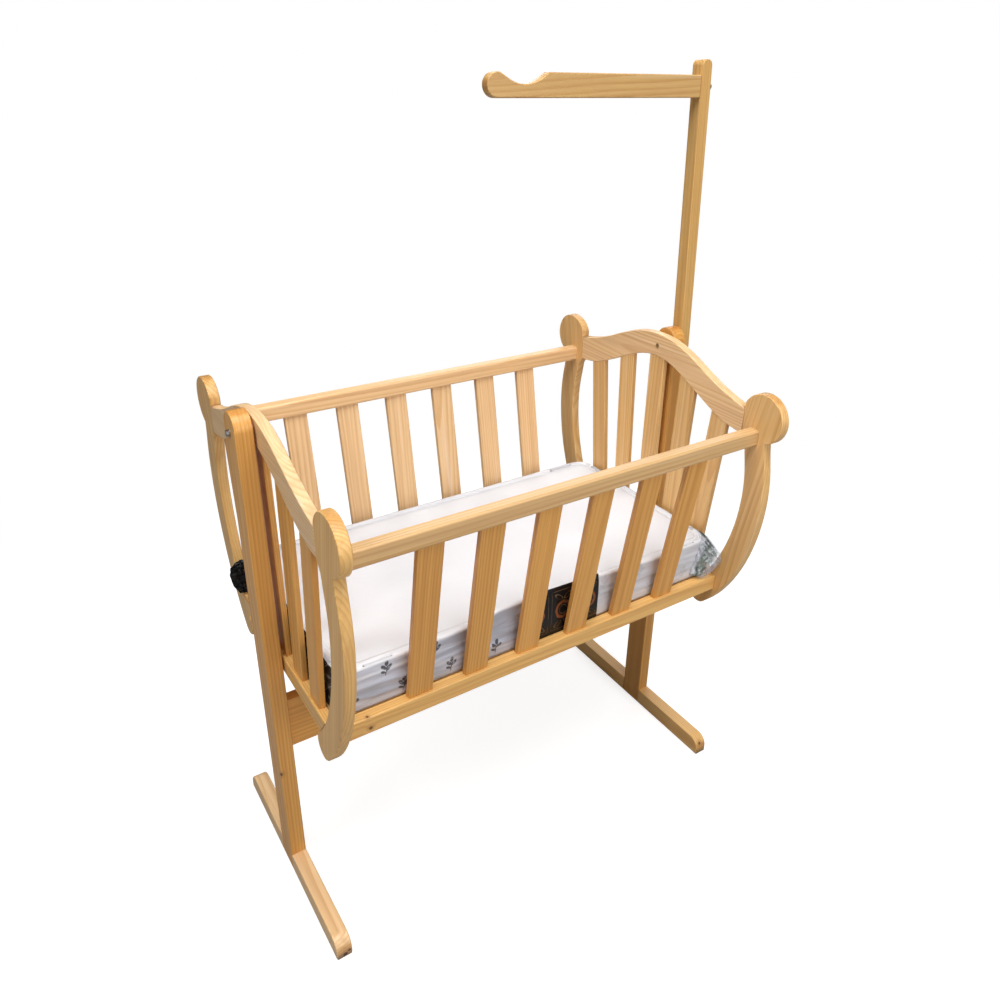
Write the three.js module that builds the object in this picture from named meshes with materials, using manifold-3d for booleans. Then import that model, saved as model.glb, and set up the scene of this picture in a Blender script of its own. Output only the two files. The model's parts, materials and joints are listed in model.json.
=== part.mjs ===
// A slatted pine cradle that swings between two posts, with its mattress, and a pole whose
// hooked arm carries a net. Millimetres, +Z up, +X right along the rails, +Y to the back.
// The floor is z = 0. The cradle has its own frame, with its origin on the swing axis.
import * as THREE from 'three';
import Module from 'manifold-3d';
import { mergeVertices } from 'three/addons/utils/BufferGeometryUtils.js';

const wasm = await Module();
wasm.setup();

// Clearance between pieces that meet, eased edges, mortises and tenons
const seat = 0.3;
const ease = 2;
const slatMortise = 9;
const tenon = { depth: 12, shoulder: 5 };

// Cradle, overall: rails between the end frames, and the swing axis above the floor
const railLength = 840;
const endBoard = 20;
const pivotHeight = 960;

// Ears and legs. Heights are from the swing axis, distances from the middle plane y = 0.
// A leg is a band along a curve through top, belly and tip.
const ear = { y: 301, z: -59, radius: 49, flat: 4 };
const leg = { width: 51, topInset: 10, topDrop: 36, topBow: 40, bellyBow: 60 };
const belly = { y: 306, z: -220, lowerBow: 110 };
const tip = { y: 200, z: -504, bow: 90, slope: Math.PI / 4 };

// Arch between the ears: crown above the axis, depths, end height above the ear's middle
const arch = { crown: 26, crownDepth: 48, endRise: 8, endDepth: 53 };
const archTop = { crownBow: 100, endBow: 116, endBowRise: 21 };
const archUnder = { crownBow: 85, endBow: 96 };

// Rails: the top pair from the ear's middle, the bottom pair from the leg's tip
const topRail = { inset: 14, drop: 55, height: 32, thickness: 25, ease: 5 };
const bottomRail = { outset: 33, rise: 30, height: 34, thickness: 22, ease: 3 };

// Slats of the sides and of the end frames. The feet of the side slats stand a little
// inside the rail's middle, and the end slats lie a little inside the board's middle.
const sideSlat = { count: 6, width: 46, thickness: 12, pitch: 110, footInset: 1 };
const endSlat = { count: 5, width: 45, thickness: 11, topPitch: 97, footPitch: 80, inset: 2 };

// Board under the mattress, its cleats, and the mattress with its free gaps
const board = { sunk: 1, thickness: 9, gap: 2.5 };
const cleat = { width: 18, height: 18 };
const mattress = { height: 84, corner: 34, crown: 3, draw: 3, end: 6, side: 3 };

// Posts, feet, and the stretcher below the cradle. The left foot reaches further forward.
const swingGap = 3;
const post = { width: 58, thickness: 30, crownRise: 7 };
const foot = { length: 488, height: 40, corner: 26, leftForward: 14 };
const stretcher = { drop: 548, height: 110, thickness: 22, tenon: 18, shoulder: 12 };

// Net pole on the right post, leaning back about the pivot bolt (lean in radians), and its
// arm with a ball tip and a scoop for the net's ring. Heights run along the pole.
const pole = { width: 26, depth: 29, lean: 0.038, below: 240, above: 549, corner: 11 };
const arm = { reach: 474, drop: 27, height: 40, thickness: 19 };
const scoop = { middle: 76, depth: 18.5, end: 122, ballTurn: Math.PI / 3, bow: 20 };

// Bolts, screws and washers, and the closed sleeve nuts sunk in the arches
const pivotBolt = { radius: 3, acrossFlats: 10, head: 4 };
const pivotNut = { radius: 5.5, length: 11, cap: 3 };
const pivotWasher = { radius: 6.5, thickness: 1.2 };
const spacerRadius = 10;
const screw = { radius: 3, acrossFlats: 10, head: 4 };
const screwWasher = { radius: 8, thickness: 1.2 };
const poleScrew = { drop: 208, depth: 24 };
const armScrewDepth = 46;

// Planes and places worked out from the sizes above
const frameX = (railLength + endBoard) / 2;
const postInner = railLength / 2 + endBoard + swingGap;
const postX = postInner + post.thickness / 2;
const postOuter = postInner + post.thickness;
const poleInner = postOuter + seat;
const poleOuter = poleInner + pole.width;
const armTop = pole.above - arm.drop;
const armY = (arm.thickness - pole.depth) / 2;
const archReach = ear.y - ear.radius + ear.flat;
const archEndTop = ear.z + arch.endRise;
const archEndUnder = archEndTop - arch.endDepth;
const topRailY = ear.y - topRail.inset;
const topRailZ = ear.z - topRail.drop;
const bottomRailY = tip.y + bottomRail.outset;
const bottomRailZ = tip.z + bottomRail.rise;
const bottomRailTop = bottomRailZ + bottomRail.height;
const boardTop = bottomRailTop - board.sunk;
const boardUnder = boardTop - board.thickness;
const bedHalfWidth = bottomRailY - bottomRail.thickness / 2;

const finishes = {
  pine: { color: 0xe2bd84, roughness: 0.5, metalness: 0 },
  plywood: { color: 0xd8b683, roughness: 0.65, metalness: 0 },
  cover: { color: 0xe9e9f0, roughness: 0.75, metalness: 0 },
  steel: { color: 0x9a9a98, roughness: 0.35, metalness: 1 },
};

// A closed geometry as a solid that can be cut and joined
function solid(geometry) {
  const bare = geometry.clone();
  bare.deleteAttribute('normal');
  bare.deleteAttribute('uv');
  const merged = mergeVertices(bare);
  const vertProperties = new Float32Array(merged.attributes.position.array);
  const triVerts = new Uint32Array(merged.index.array);
  return new wasm.Manifold(new wasm.Mesh({ numProp: 3, vertProperties, triVerts }));
}

// A named mesh of a solid, at a place and turned about x
function piece(name, shape, finish, x = 0, y = 0, z = 0, turn = 0) {
  const { vertProperties, triVerts } = shape.getMesh();
  const geometry = new THREE.BufferGeometry();
  geometry.setAttribute('position', new THREE.BufferAttribute(vertProperties, 3));
  geometry.setIndex(new THREE.BufferAttribute(triVerts, 1));
  geometry.computeVertexNormals();
  const mesh = new THREE.Mesh(geometry, new THREE.MeshStandardMaterial(finishes[finish]));
  mesh.name = name;
  mesh.position.set(x, y, z);
  mesh.rotation.x = turn;
  return mesh;
}

// From a drawing (across, up, depth) to the model: drawn on the YZ plane or the XZ plane
const onYZ = new THREE.Matrix4().set(0, 0, 1, 0, 1, 0, 0, 0, 0, 1, 0, 0, 0, 0, 0, 1);
const onXZ = new THREE.Matrix4().set(1, 0, 0, 0, 0, 0, -1, 0, 0, 1, 0, 0, 0, 0, 0, 1);

// A board sawn to an outline, with eased edges, its middle plane through the origin
function sawn(outline, thickness, plane, easing = ease) {
  const geometry = new THREE.ExtrudeGeometry(outline, {
    depth: thickness - 2 * easing,
    bevelEnabled: easing > 0,
    bevelThickness: easing,
    bevelSize: easing,
    bevelOffset: -easing,
    bevelSegments: 1,
    curveSegments: 12,
  });
  geometry.translate(0, 0, easing - thickness / 2);
  geometry.applyMatrix4(plane);
  return solid(geometry);
}

// A rectangle with rounded corners, drawn round its middle
function roundedRectangle(width, height, radius) {
  const shape = new THREE.Shape();
  const right = width / 2 - radius;
  const top = height / 2 - radius;
  shape.absarc(right, top, radius, 0, Math.PI / 2);
  shape.absarc(-right, top, radius, Math.PI / 2, Math.PI);
  shape.absarc(-right, -top, radius, Math.PI, 1.5 * Math.PI);
  shape.absarc(right, -top, radius, 1.5 * Math.PI, 2 * Math.PI);
  return shape;
}

// A planed stick along z with eased long edges, its middle at the origin
function stick(width, thickness, length, easing = ease) {
  const section = roundedRectangle(width, thickness, easing);
  const options = { depth: length, bevelEnabled: false, curveSegments: 2 };
  const geometry = new THREE.ExtrudeGeometry(section, options);
  geometry.translate(0, 0, -length / 2);
  return geometry;
}

function box(x, y, z, at = [0, 0, 0]) {
  const geometry = new THREE.BoxGeometry(x, y, z);
  geometry.translate(...at);
  return solid(geometry);
}

// A round or six-sided bar along x, from one end to the other
function bar(radius, from, to, y = 0, z = 0, sides = 24) {
  const geometry = new THREE.CylinderGeometry(radius, radius, to - from, sides);
  geometry.rotateZ(Math.PI / 2);
  geometry.translate((from + to) / 2, y, z);
  return solid(geometry);
}

function hexagon(acrossFlats, from, to, y = 0, z = 0) {
  return bar(acrossFlats / Math.sqrt(3), from, to, y, z, 6);
}

function washer(size, bore, from, y = 0, z = 0) {
  const ring = bar(size.radius, from, from + size.thickness, y, z);
  return ring.subtract(bar(bore, from - 1, from + size.thickness + 1, y, z));
}

function arcPoints(x, y, radius, start, end, steps) {
  return Array.from({ length: steps + 1 }, (unused, i) => {
    const turn = start + ((end - start) * i) / steps;
    return new THREE.Vector2(x + radius * Math.cos(turn), y + radius * Math.sin(turn));
  });
}

// The value between low and high where a test changes from true to false
function changeOf(test, low, high) {
  let holds = low;
  let fails = high;
  for (let i = 0; i < 40; i += 1) {
    const middle = (holds + fails) / 2;
    if (test(middle)) holds = middle;
    else fails = middle;
  }
  return holds;
}

// Middle line of a leg, from inside the ear down to the tip
function legLine() {
  const topY = ear.y - leg.topInset;
  const topZ = ear.z - leg.topDrop;
  const line = new THREE.CurvePath();
  line.add(new THREE.CubicBezierCurve(
    new THREE.Vector2(topY, topZ),
    new THREE.Vector2(topY, topZ - leg.topBow),
    new THREE.Vector2(belly.y, belly.z + leg.bellyBow),
    new THREE.Vector2(belly.y, belly.z),
  ));
  line.add(new THREE.CubicBezierCurve(
    new THREE.Vector2(belly.y, belly.z),
    new THREE.Vector2(belly.y, belly.z - belly.lowerBow),
    new THREE.Vector2(
      tip.y + tip.bow * Math.cos(tip.slope),
      tip.z + tip.bow * Math.sin(tip.slope),
    ),
    new THREE.Vector2(tip.y, tip.z),
  ));
  return line;
}

// A point beside the leg's middle line: outwards for a positive offset, inwards for a negative
function besideLine(line, share, offset) {
  const point = line.getPointAt(share);
  const along = line.getTangentAt(share);
  return new THREE.Vector2(point.x - along.y * offset, point.y + along.x * offset);
}

// Outline of a leg and its ear: down the inner edge, round the tip, up the outer edge, and
// round the ear to the flat where the arch meets it. grow offsets the outline.
function legOutline(side, grow = 0) {
  const line = legLine();
  const half = leg.width / 2 + grow;
  const radius = ear.radius + grow;
  const flat = archReach - grow;
  const centre = new THREE.Vector2(ear.y, ear.z);
  const steps = 22;
  const innerTop = archEndUnder - leg.width / 3;
  const innerStart = changeOf((u) => besideLine(line, u, -half).y > innerTop, 0, 0.5);
  const notch = changeOf((u) => besideLine(line, u, half).distanceTo(centre) < radius, 0, 0.5);
  const inner = [];
  const outer = [];
  for (let i = 0; i <= steps; i += 1) {
    inner.push(besideLine(line, innerStart + ((1 - innerStart) * i) / steps, -half));
    outer.push(besideLine(line, notch + ((1 - notch) * i) / steps, half));
  }
  const tipStart = Math.atan2(inner[steps].y - tip.z, inner[steps].x - tip.y);
  const earStart = Math.atan2(outer[0].y - ear.z, outer[0].x - ear.y);
  const earEnd = Math.PI - Math.acos((ear.y - flat) / radius);
  const points = [
    new THREE.Vector2(flat, archEndUnder - grow),
    ...inner,
    ...arcPoints(tip.y, tip.z, half, tipStart, tipStart + Math.PI, 10).slice(1, -1),
    ...outer.reverse(),
    ...arcPoints(ear.y, ear.z, radius, earStart, earEnd, 20).slice(1),
  ];
  return new THREE.Shape(points.map((point) => new THREE.Vector2(side * point.x, point.y)));
}

// Right half of the arch's top or underside, from the crown to the ear
function archCurve(crown, end, crownBow, endBow, endBowRise) {
  const reach = archReach - seat;
  return new THREE.CubicBezierCurve(
    new THREE.Vector2(0, crown),
    new THREE.Vector2(crownBow, crown),
    new THREE.Vector2(reach - endBow, end + endBowRise),
    new THREE.Vector2(reach, end),
  );
}

function archUndersideCurve() {
  const crown = arch.crown - arch.crownDepth;
  return archCurve(crown, archEndUnder, archUnder.crownBow, archUnder.endBow, 0);
}

function archOutline() {
  const { crownBow, endBow, endBowRise } = archTop;
  const top = archCurve(arch.crown, archEndTop, crownBow, endBow, endBowRise).getPoints(16);
  const under = archUndersideCurve().getPoints(16);
  const mirrored = (points) => points.map((point) => new THREE.Vector2(-point.x, point.y));
  return new THREE.Shape([
    ...mirrored(under).reverse(),
    ...under.slice(1),
    ...[...top].reverse(),
    ...mirrored(top).slice(1),
  ]);
}

// Height of the arch's underside at a distance from its middle
function archUndersideAt(y) {
  const curve = archUndersideCurve();
  return curve.getPoint(changeOf((t) => curve.getPoint(t).x < y, 0, 1)).y;
}

// Places of a row of slats that are spread evenly about the middle
function spread(count, pitch) {
  return Array.from({ length: count }, (unused, i) => (i - (count - 1) / 2) * pitch);
}

// A slat that stands on a foot point and leans to a top point, both given as [y, z]. Its
// ends reach below the foot and above the top by the mortises' depths.
function leaningSlat(foot, top, belowFoot, aboveTop) {
  const lean = Math.atan2(top[0] - foot[0], top[1] - foot[1]);
  const low = foot[1] - belowFoot;
  const high = top[1] + aboveTop;
  const middle = (low + high) / 2;
  return {
    lean,
    length: (high - low) / Math.cos(lean),
    y: foot[0] + (middle - foot[1]) * Math.tan(lean),
    z: middle,
  };
}

// The hole that a slat needs, grown by the clearance
function slatCutter(slat, width, thickness, x) {
  const geometry = stick(width + 2 * seat, thickness + 2 * seat, slat.length + 2 * seat);
  geometry.rotateX(-slat.lean);
  geometry.translate(x, slat.y, slat.z);
  return solid(geometry);
}

// Slats of one end frame, from one side to the other
function endSlats() {
  const halfWidth = endSlat.width / 2;
  const feet = spread(endSlat.count, endSlat.footPitch);
  return spread(endSlat.count, endSlat.topPitch).map((topY, i) => {
    const rim = archUndersideAt(Math.max(0, Math.abs(topY) - halfWidth));
    return leaningSlat([feet[i], bottomRailTop], [topY, rim], slatMortise, slatMortise);
  });
}

// One side's slats all lean alike, so one slat gives the shape
function sideSlatShape(side) {
  const footY = side * (bottomRailY - sideSlat.footInset);
  return leaningSlat([footY, bottomRailTop], [side * topRailY, topRailZ], slatMortise, slatMortise);
}

function legSolid(side) {
  const mortiseX = tenon.depth + seat - endBoard / 2;
  const mortise = (rail, y, z) => box(
    2 * (tenon.depth + seat),
    rail.thickness - 2 * tenon.shoulder + 2 * seat,
    rail.height - 2 * tenon.shoulder + 2 * seat,
    [mortiseX - tenon.depth - seat, side * y, z + rail.height / 2],
  );
  return sawn(legOutline(side), endBoard, onYZ)
    .subtract(mortise(topRail, topRailY, topRailZ))
    .subtract(mortise(bottomRail, bottomRailY, bottomRailZ));
}

// An arch, with a bore that is wider from the inner face for the sleeve nut
function archSolid() {
  const nutSeat = 2 * seat + pivotNut.length - endBoard / 2;
  const bore = bar(pivotBolt.radius + seat, -endBoard, endBoard)
    .add(bar(pivotNut.radius + seat, -endBoard, nutSeat));
  const blank = sawn(archOutline(), endBoard, onYZ).subtract(bore);
  return endSlats().reduce((shape, slat) => shape.subtract(endSlatCutter(slat)), blank);
}

function endSlatCutter(slat) {
  return slatCutter(slat, endSlat.thickness, endSlat.width, -endSlat.inset);
}

// Bottom rail of an end frame, coped to the legs
function endRailSolid() {
  const length = 2 * tip.y + leg.width;
  const outline = new THREE.Shape();
  outline.moveTo(-length / 2, bottomRailZ);
  outline.lineTo(length / 2, bottomRailZ);
  outline.lineTo(length / 2, bottomRailTop);
  outline.lineTo(-length / 2, bottomRailTop);
  const cope = (side) => sawn(legOutline(side, seat), 2 * endBoard, onYZ, 0);
  const coped = sawn(outline, endBoard, onYZ).subtract(cope(1)).subtract(cope(-1));
  return endSlats().reduce((shape, slat) => shape.subtract(endSlatCutter(slat)), coped);
}

// A side rail with a stub tenon at each end and a mortise for each slat
function sideRailSolid(rail, y, z, side) {
  const length = railLength - 2 * seat;
  const section = roundedRectangle(rail.thickness, rail.height, rail.ease);
  const options = { depth: length, bevelEnabled: false, curveSegments: 3 };
  const geometry = new THREE.ExtrudeGeometry(section, options);
  geometry.translate(0, 0, -length / 2);
  geometry.applyMatrix4(onYZ);
  const middleZ = z + rail.height / 2;
  geometry.translate(0, side * y, middleZ);
  const tongue = box(
    railLength + 2 * tenon.depth,
    rail.thickness - 2 * tenon.shoulder,
    rail.height - 2 * tenon.shoulder,
    [0, side * y, middleZ],
  );
  const { width, thickness, count, pitch } = sideSlat;
  const slat = sideSlatShape(side);
  return spread(count, pitch).reduce(
    (shape, x) => shape.subtract(slatCutter(slat, width, thickness, x)),
    solid(geometry).add(tongue),
  );
}

// A soft block: crowned on top, sides drawn in between rounded corners
function mattressSolid(length, width) {
  const { height, corner, crown, draw } = mattress;
  const geometry = new THREE.BoxGeometry(length, width, height, 20, 12, 4);
  const at = geometry.attributes.position;
  for (let i = 0; i < at.count; i += 1) {
    const u = (2 * at.getX(i)) / length;
    const v = (2 * at.getY(i)) / width;
    const w = (2 * at.getZ(i)) / height;
    const overX = Math.max(0, Math.abs(at.getX(i)) - length / 2 + corner);
    const overY = Math.max(0, Math.abs(at.getY(i)) - width / 2 + corner);
    const reach = Math.hypot(overX, overY);
    const round = reach > 0 ? 1 - Math.max(overX, overY) / reach : 0;
    const pull = draw * w * w;
    const x = at.getX(i) - Math.sign(u) * round * overX - u * pull * (1 - v * v);
    const y = at.getY(i) - Math.sign(v) * round * overY - v * pull * (1 - u * u);
    const z = at.getZ(i) + (w > 0 ? w * crown * (1 - u ** 4) * (1 - v ** 4) : 0);
    at.setXYZ(i, x, y, z);
  }
  return solid(geometry);
}

// A post with its round top. Below the shoulder half its thickness is cut away, where it
// laps the foot. inward is the side, along x, that faces the cradle.
function postSolid(inward, bores) {
  const half = post.width / 2;
  const outline = new THREE.Shape();
  outline.moveTo(-half, 0);
  outline.lineTo(half, 0);
  outline.absarc(0, pivotHeight + post.crownRise, half, 0, Math.PI);
  const lap = box(
    post.thickness,
    2 * post.width,
    2 * (foot.height + seat),
    [post.thickness / 2 - seat, 0, 0],
  );
  const mortise = box(
    2 * (stretcher.tenon + seat),
    stretcher.thickness / 2 + 2 * seat,
    stretcher.height - 2 * stretcher.shoulder + 2 * seat,
    [(inward * post.thickness) / 2, 0, stretcherMiddle()],
  );
  const blank = sawn(outline, post.thickness, onYZ).subtract(lap).subtract(mortise);
  return bores.reduce((shape, bore) => shape.subtract(bore), blank);
}

function stretcherMiddle() {
  return pivotHeight - stretcher.drop - stretcher.height / 2;
}

function footSolid(forward) {
  const { length, height, corner } = foot;
  const back = length / 2 - forward;
  const front = back - length;
  const outline = new THREE.Shape();
  outline.moveTo(front, 0);
  outline.lineTo(back, 0);
  outline.absarc(back - corner, height - corner, corner, 0, Math.PI / 2);
  outline.absarc(front + corner, height - corner, corner, Math.PI / 2, Math.PI);
  const housing = box(
    post.thickness,
    post.width + 2 * seat,
    3 * height,
    [-post.thickness / 2, 0, 0],
  );
  return sawn(outline, post.thickness, onYZ).subtract(housing);
}

function stretcherSolid() {
  const { height, thickness, shoulder } = stretcher;
  const length = 2 * (postInner - seat);
  const board = stick(length, thickness, height);
  const tongue = box(2 * (postInner + stretcher.tenon), thickness / 2, height - 2 * shoulder);
  return solid(board).add(tongue);
}

// The net pole, with rounded corners on top, and holes for what goes through it
function poleSolid() {
  const { width, depth, below, above, corner } = pole;
  const outline = new THREE.Shape();
  outline.moveTo(0, -below);
  outline.lineTo(width, -below);
  outline.absarc(width - corner, above - corner, corner, 0, Math.PI / 2);
  outline.absarc(corner, above - corner, corner, Math.PI / 2, Math.PI);
  const hole = (radius, y, z) => bar(radius + seat, -width, 2 * width, y, z);
  return sawn(outline, depth, onXZ)
    .subtract(hole(pivotBolt.radius, 0, 0))
    .subtract(hole(screw.radius, 0, -poleScrew.drop))
    .subtract(hole(screw.radius, armY, armTop - arm.height / 2));
}

// The arm, from its end on the pole (x = 0) to the ball tip, with a scoop behind the ball
function armSolid() {
  const { reach, height, thickness } = arm;
  const radius = height / 2;
  const low = -scoop.depth;
  const fromTip = (x) => x - reach;
  const ballX = fromTip(radius);
  const start = new THREE.Vector2(
    ballX + radius * Math.cos(scoop.ballTurn),
    radius * Math.sin(scoop.ballTurn) - radius,
  );
  const outline = new THREE.Shape();
  outline.moveTo(-seat, -height);
  outline.lineTo(-seat, 0);
  outline.lineTo(fromTip(scoop.end), 0);
  outline.bezierCurveTo(
    fromTip(scoop.end) - scoop.bow / 2, -scoop.bow / 3,
    fromTip(scoop.middle) + scoop.bow, low,
    fromTip(scoop.middle), low,
  );
  outline.bezierCurveTo(
    fromTip(scoop.middle) - scoop.bow, low,
    start.x + scoop.bow * Math.sin(scoop.ballTurn), start.y - scoop.bow * Math.cos(scoop.ballTurn),
    start.x, start.y,
  );
  outline.absarc(ballX, -radius, radius, scoop.ballTurn, 1.5 * Math.PI);
  const screwHole = bar(screw.radius + seat, -armScrewDepth - 2 * seat, 1, 0, -radius);
  return sawn(outline, thickness, onXZ).subtract(screwHole);
}

// A hexagon screw along x: its head stands on a washer outside x = 0
function screwSolid(length) {
  const headSeat = screwWasher.thickness + 2 * seat;
  return bar(screw.radius, -length, headSeat + screw.head / 2)
    .add(hexagon(screw.acrossFlats, headSeat, headSeat + screw.head));
}

function addEndFrame(cradle, end) {
  const frame = new THREE.Group();
  const name = end > 0 ? 'right' : 'left';
  frame.position.x = end * frameX;
  frame.rotation.z = end > 0 ? 0 : Math.PI;
  for (const side of [-1, 1]) {
    const sideName = side * end > 0 ? 'back' : 'front';
    frame.add(piece(`leg_${name}_${sideName}`, legSolid(side), 'pine'));
  }
  frame.add(piece(`arch_${name}`, archSolid(), 'pine'));
  frame.add(piece(`end_rail_${name}`, endRailSolid(), 'pine'));
  endSlats().forEach((slat, i) => {
    const number = end > 0 ? i + 1 : endSlat.count - i;
    const shape = solid(stick(endSlat.thickness, endSlat.width, slat.length));
    const slatName = `end_slat_${name}_${number}`;
    frame.add(piece(slatName, shape, 'pine', -endSlat.inset, slat.y, slat.z, -slat.lean));
  });
  cradle.add(frame);
}

function addSide(cradle, side) {
  const name = side > 0 ? 'back' : 'front';
  cradle.add(piece(`top_rail_${name}`, sideRailSolid(topRail, topRailY, topRailZ, side), 'pine'));
  const lowRail = sideRailSolid(bottomRail, bottomRailY, bottomRailZ, side);
  cradle.add(piece(`bottom_rail_${name}`, lowRail, 'pine'));
  const slat = sideSlatShape(side);
  spread(sideSlat.count, sideSlat.pitch).forEach((x, i) => {
    const shape = solid(stick(sideSlat.width, sideSlat.thickness, slat.length));
    cradle.add(piece(`${name}_slat_${i + 1}`, shape, 'pine', x, slat.y, slat.z, -slat.lean));
  });
  const strip = box(railLength - 2 * seat, cleat.width, cleat.height);
  const cleatY = side * (bedHalfWidth - seat - cleat.width / 2);
  const cleatZ = boardUnder - seat - cleat.height / 2;
  cradle.add(piece(`board_cleat_${name}`, strip, 'pine', 0, cleatY, cleatZ));
}

function addBed(cradle) {
  const shape = box(railLength - 2 * seat, 2 * (bedHalfWidth - board.gap), board.thickness);
  cradle.add(piece('mattress_board', shape, 'plywood', 0, 0, boardUnder + board.thickness / 2));
  const length = railLength - 2 * mattress.end;
  const block = mattressSolid(length, 2 * (bedHalfWidth - mattress.side));
  cradle.add(piece('mattress', block, 'cover', 0, 0, boardTop + seat + mattress.height / 2));
}

function makeCradle() {
  const cradle = new THREE.Group();
  cradle.position.z = pivotHeight;
  for (const end of [-1, 1]) addEndFrame(cradle, end);
  for (const side of [-1, 1]) addSide(cradle, side);
  addBed(cradle);
  return cradle;
}

// Pivot bolt of one end with its washers and nut. Its group looks outwards along x.
function addPivot(stand, end, outer) {
  const name = end > 0 ? 'right' : 'left';
  const pivot = new THREE.Group();
  pivot.position.z = pivotHeight;
  pivot.rotation.z = end > 0 ? 0 : Math.PI;
  const bore = pivotBolt.radius + seat;
  const headSeat = outer + pivotWasher.thickness + 2 * seat;
  const nutFace = railLength / 2 + seat;
  const nutFloor = nutFace + pivotNut.cap;
  const shank = bar(pivotBolt.radius, nutFloor + seat, headSeat + pivotBolt.head / 2);
  const head = hexagon(pivotBolt.acrossFlats, headSeat, headSeat + pivotBolt.head);
  const nut = bar(pivotNut.radius, nutFace, nutFace + pivotNut.length)
    .subtract(bar(bore, nutFloor, outer));
  const spacer = { radius: spacerRadius, thickness: swingGap - 2 * seat };
  pivot.add(piece(`pivot_bolt_${name}`, shank.add(head), 'steel'));
  pivot.add(piece(`pivot_washer_${name}`, washer(pivotWasher, bore, outer + seat), 'steel'));
  pivot.add(piece(`pivot_spacer_${name}`, washer(spacer, bore, postInner - swingGap + seat), 'steel'));
  pivot.add(piece(`pivot_nut_${name}`, nut, 'steel'));
  stand.add(pivot);
}

function addScrew(group, name, depth, y, z) {
  const shape = screwSolid(pole.width + depth);
  const ring = washer(screwWasher, screw.radius + seat, seat);
  group.add(piece(`${name}_screw`, shape, 'steel', poleOuter, y, z));
  group.add(piece(`${name}_washer`, ring, 'steel', poleOuter, y, z));
}

// The net pole with its arm and screws. Its group turns about the pivot bolt.
function addPole(stand) {
  const group = new THREE.Group();
  group.position.z = pivotHeight;
  group.rotation.x = -pole.lean;
  group.add(piece('net_pole', poleSolid(), 'pine', poleInner));
  group.add(piece('net_arm', armSolid(), 'pine', poleInner, armY, armTop));
  addScrew(group, 'pole', poleScrew.depth, 0, -poleScrew.drop);
  addScrew(group, 'arm', armScrewDepth, armY, armTop - arm.height / 2);
  stand.add(group);
}

function makeStand() {
  const stand = new THREE.Group();
  const pivotBore = bar(pivotBolt.radius + seat, -post.thickness, post.thickness, 0, pivotHeight);
  const screwY = -poleScrew.drop * Math.sin(pole.lean);
  const screwZ = pivotHeight - poleScrew.drop * Math.cos(pole.lean);
  const screwEnd = post.thickness / 2 - poleScrew.depth - seat;
  const screwBore = bar(screw.radius + seat, screwEnd, post.thickness, screwY, screwZ);
  stand.add(piece('left_post', postSolid(1, [pivotBore]), 'pine', -postX));
  stand.add(piece('right_post', postSolid(-1, [pivotBore, screwBore]), 'pine', postX));
  stand.add(piece('left_foot', footSolid(foot.leftForward), 'pine', -postX));
  stand.add(piece('right_foot', footSolid(0), 'pine', postX));
  stand.add(piece('stretcher', stretcherSolid(), 'pine', 0, 0, stretcherMiddle()));
  addPivot(stand, -1, postOuter);
  addPivot(stand, 1, poleOuter);
  addPole(stand);
  return stand;
}

// The whole, with the middle of its length at x = 0
const assembly = new THREE.Group();
assembly.position.x = (postOuter - poleOuter) / 2;
assembly.add(makeStand(), makeCradle());

export default assembly;
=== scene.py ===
"""Looks for a slatted pine cradle that swings between two posts, with its wrapped mattress
and a pole whose hooked arm carries a net.

Metres, +Z up, +X along the rails to the post with the pole, +Y to the back, floor at z = 0.
Every wooden board is a merged copy of its CAD solid that carries the run of its grain.
"""

import functools
import json
import math
import random

import bmesh
import bpy
import numpy as np
from bpy.props import FloatProperty, FloatVectorProperty, PointerProperty
from bpy.types import Operator, Panel, PropertyGroup
from mathutils import Matrix, Vector, noise
from mathutils.bvhtree import BVHTree


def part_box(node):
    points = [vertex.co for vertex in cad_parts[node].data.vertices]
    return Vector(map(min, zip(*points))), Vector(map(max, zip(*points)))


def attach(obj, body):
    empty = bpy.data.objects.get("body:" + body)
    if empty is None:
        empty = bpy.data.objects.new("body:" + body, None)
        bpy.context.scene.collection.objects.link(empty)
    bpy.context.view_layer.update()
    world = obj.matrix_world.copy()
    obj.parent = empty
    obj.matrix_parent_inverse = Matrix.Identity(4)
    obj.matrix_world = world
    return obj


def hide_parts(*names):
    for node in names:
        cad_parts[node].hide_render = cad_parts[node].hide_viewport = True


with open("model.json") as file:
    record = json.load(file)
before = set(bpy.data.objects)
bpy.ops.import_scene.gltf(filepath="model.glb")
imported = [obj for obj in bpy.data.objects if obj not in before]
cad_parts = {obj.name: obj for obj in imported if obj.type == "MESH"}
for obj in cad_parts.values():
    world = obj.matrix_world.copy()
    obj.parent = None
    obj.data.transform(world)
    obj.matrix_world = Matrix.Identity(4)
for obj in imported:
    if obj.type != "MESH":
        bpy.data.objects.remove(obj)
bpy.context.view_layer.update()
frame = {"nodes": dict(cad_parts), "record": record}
mattress_low, mattress_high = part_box("mattress")
mattress_middle = (mattress_low + mattress_high) / 2
mattress_half = (mattress_high - mattress_low) / 2

bl_info = {
    "name": "Swinging pine cradle",
    "version": (1, 0, 0),
    "blender": (4, 5, 0),
    "location": "3D View > Sidebar > Cradle",
    "description": "Dresses the solids of a swinging pine cradle and sets its stage",
    "category": "Object",
}

STAND = "stand"
CRADLE = "cradle"

# How the names of the boards in each group start
STAND_BOARDS = ("left_post", "right_post", "left_foot", "right_foot", "stretcher")
NET_BOARDS = ("net_pole", "net_arm")
END_FRAME_BOARDS = ("leg_", "arch_", "end_rail_", "end_slat_")
SIDE_BOARDS = ("top_rail_", "bottom_rail_", "front_slat_", "back_slat_")
BED_BOARDS = ("board_cleat_",)

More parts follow.
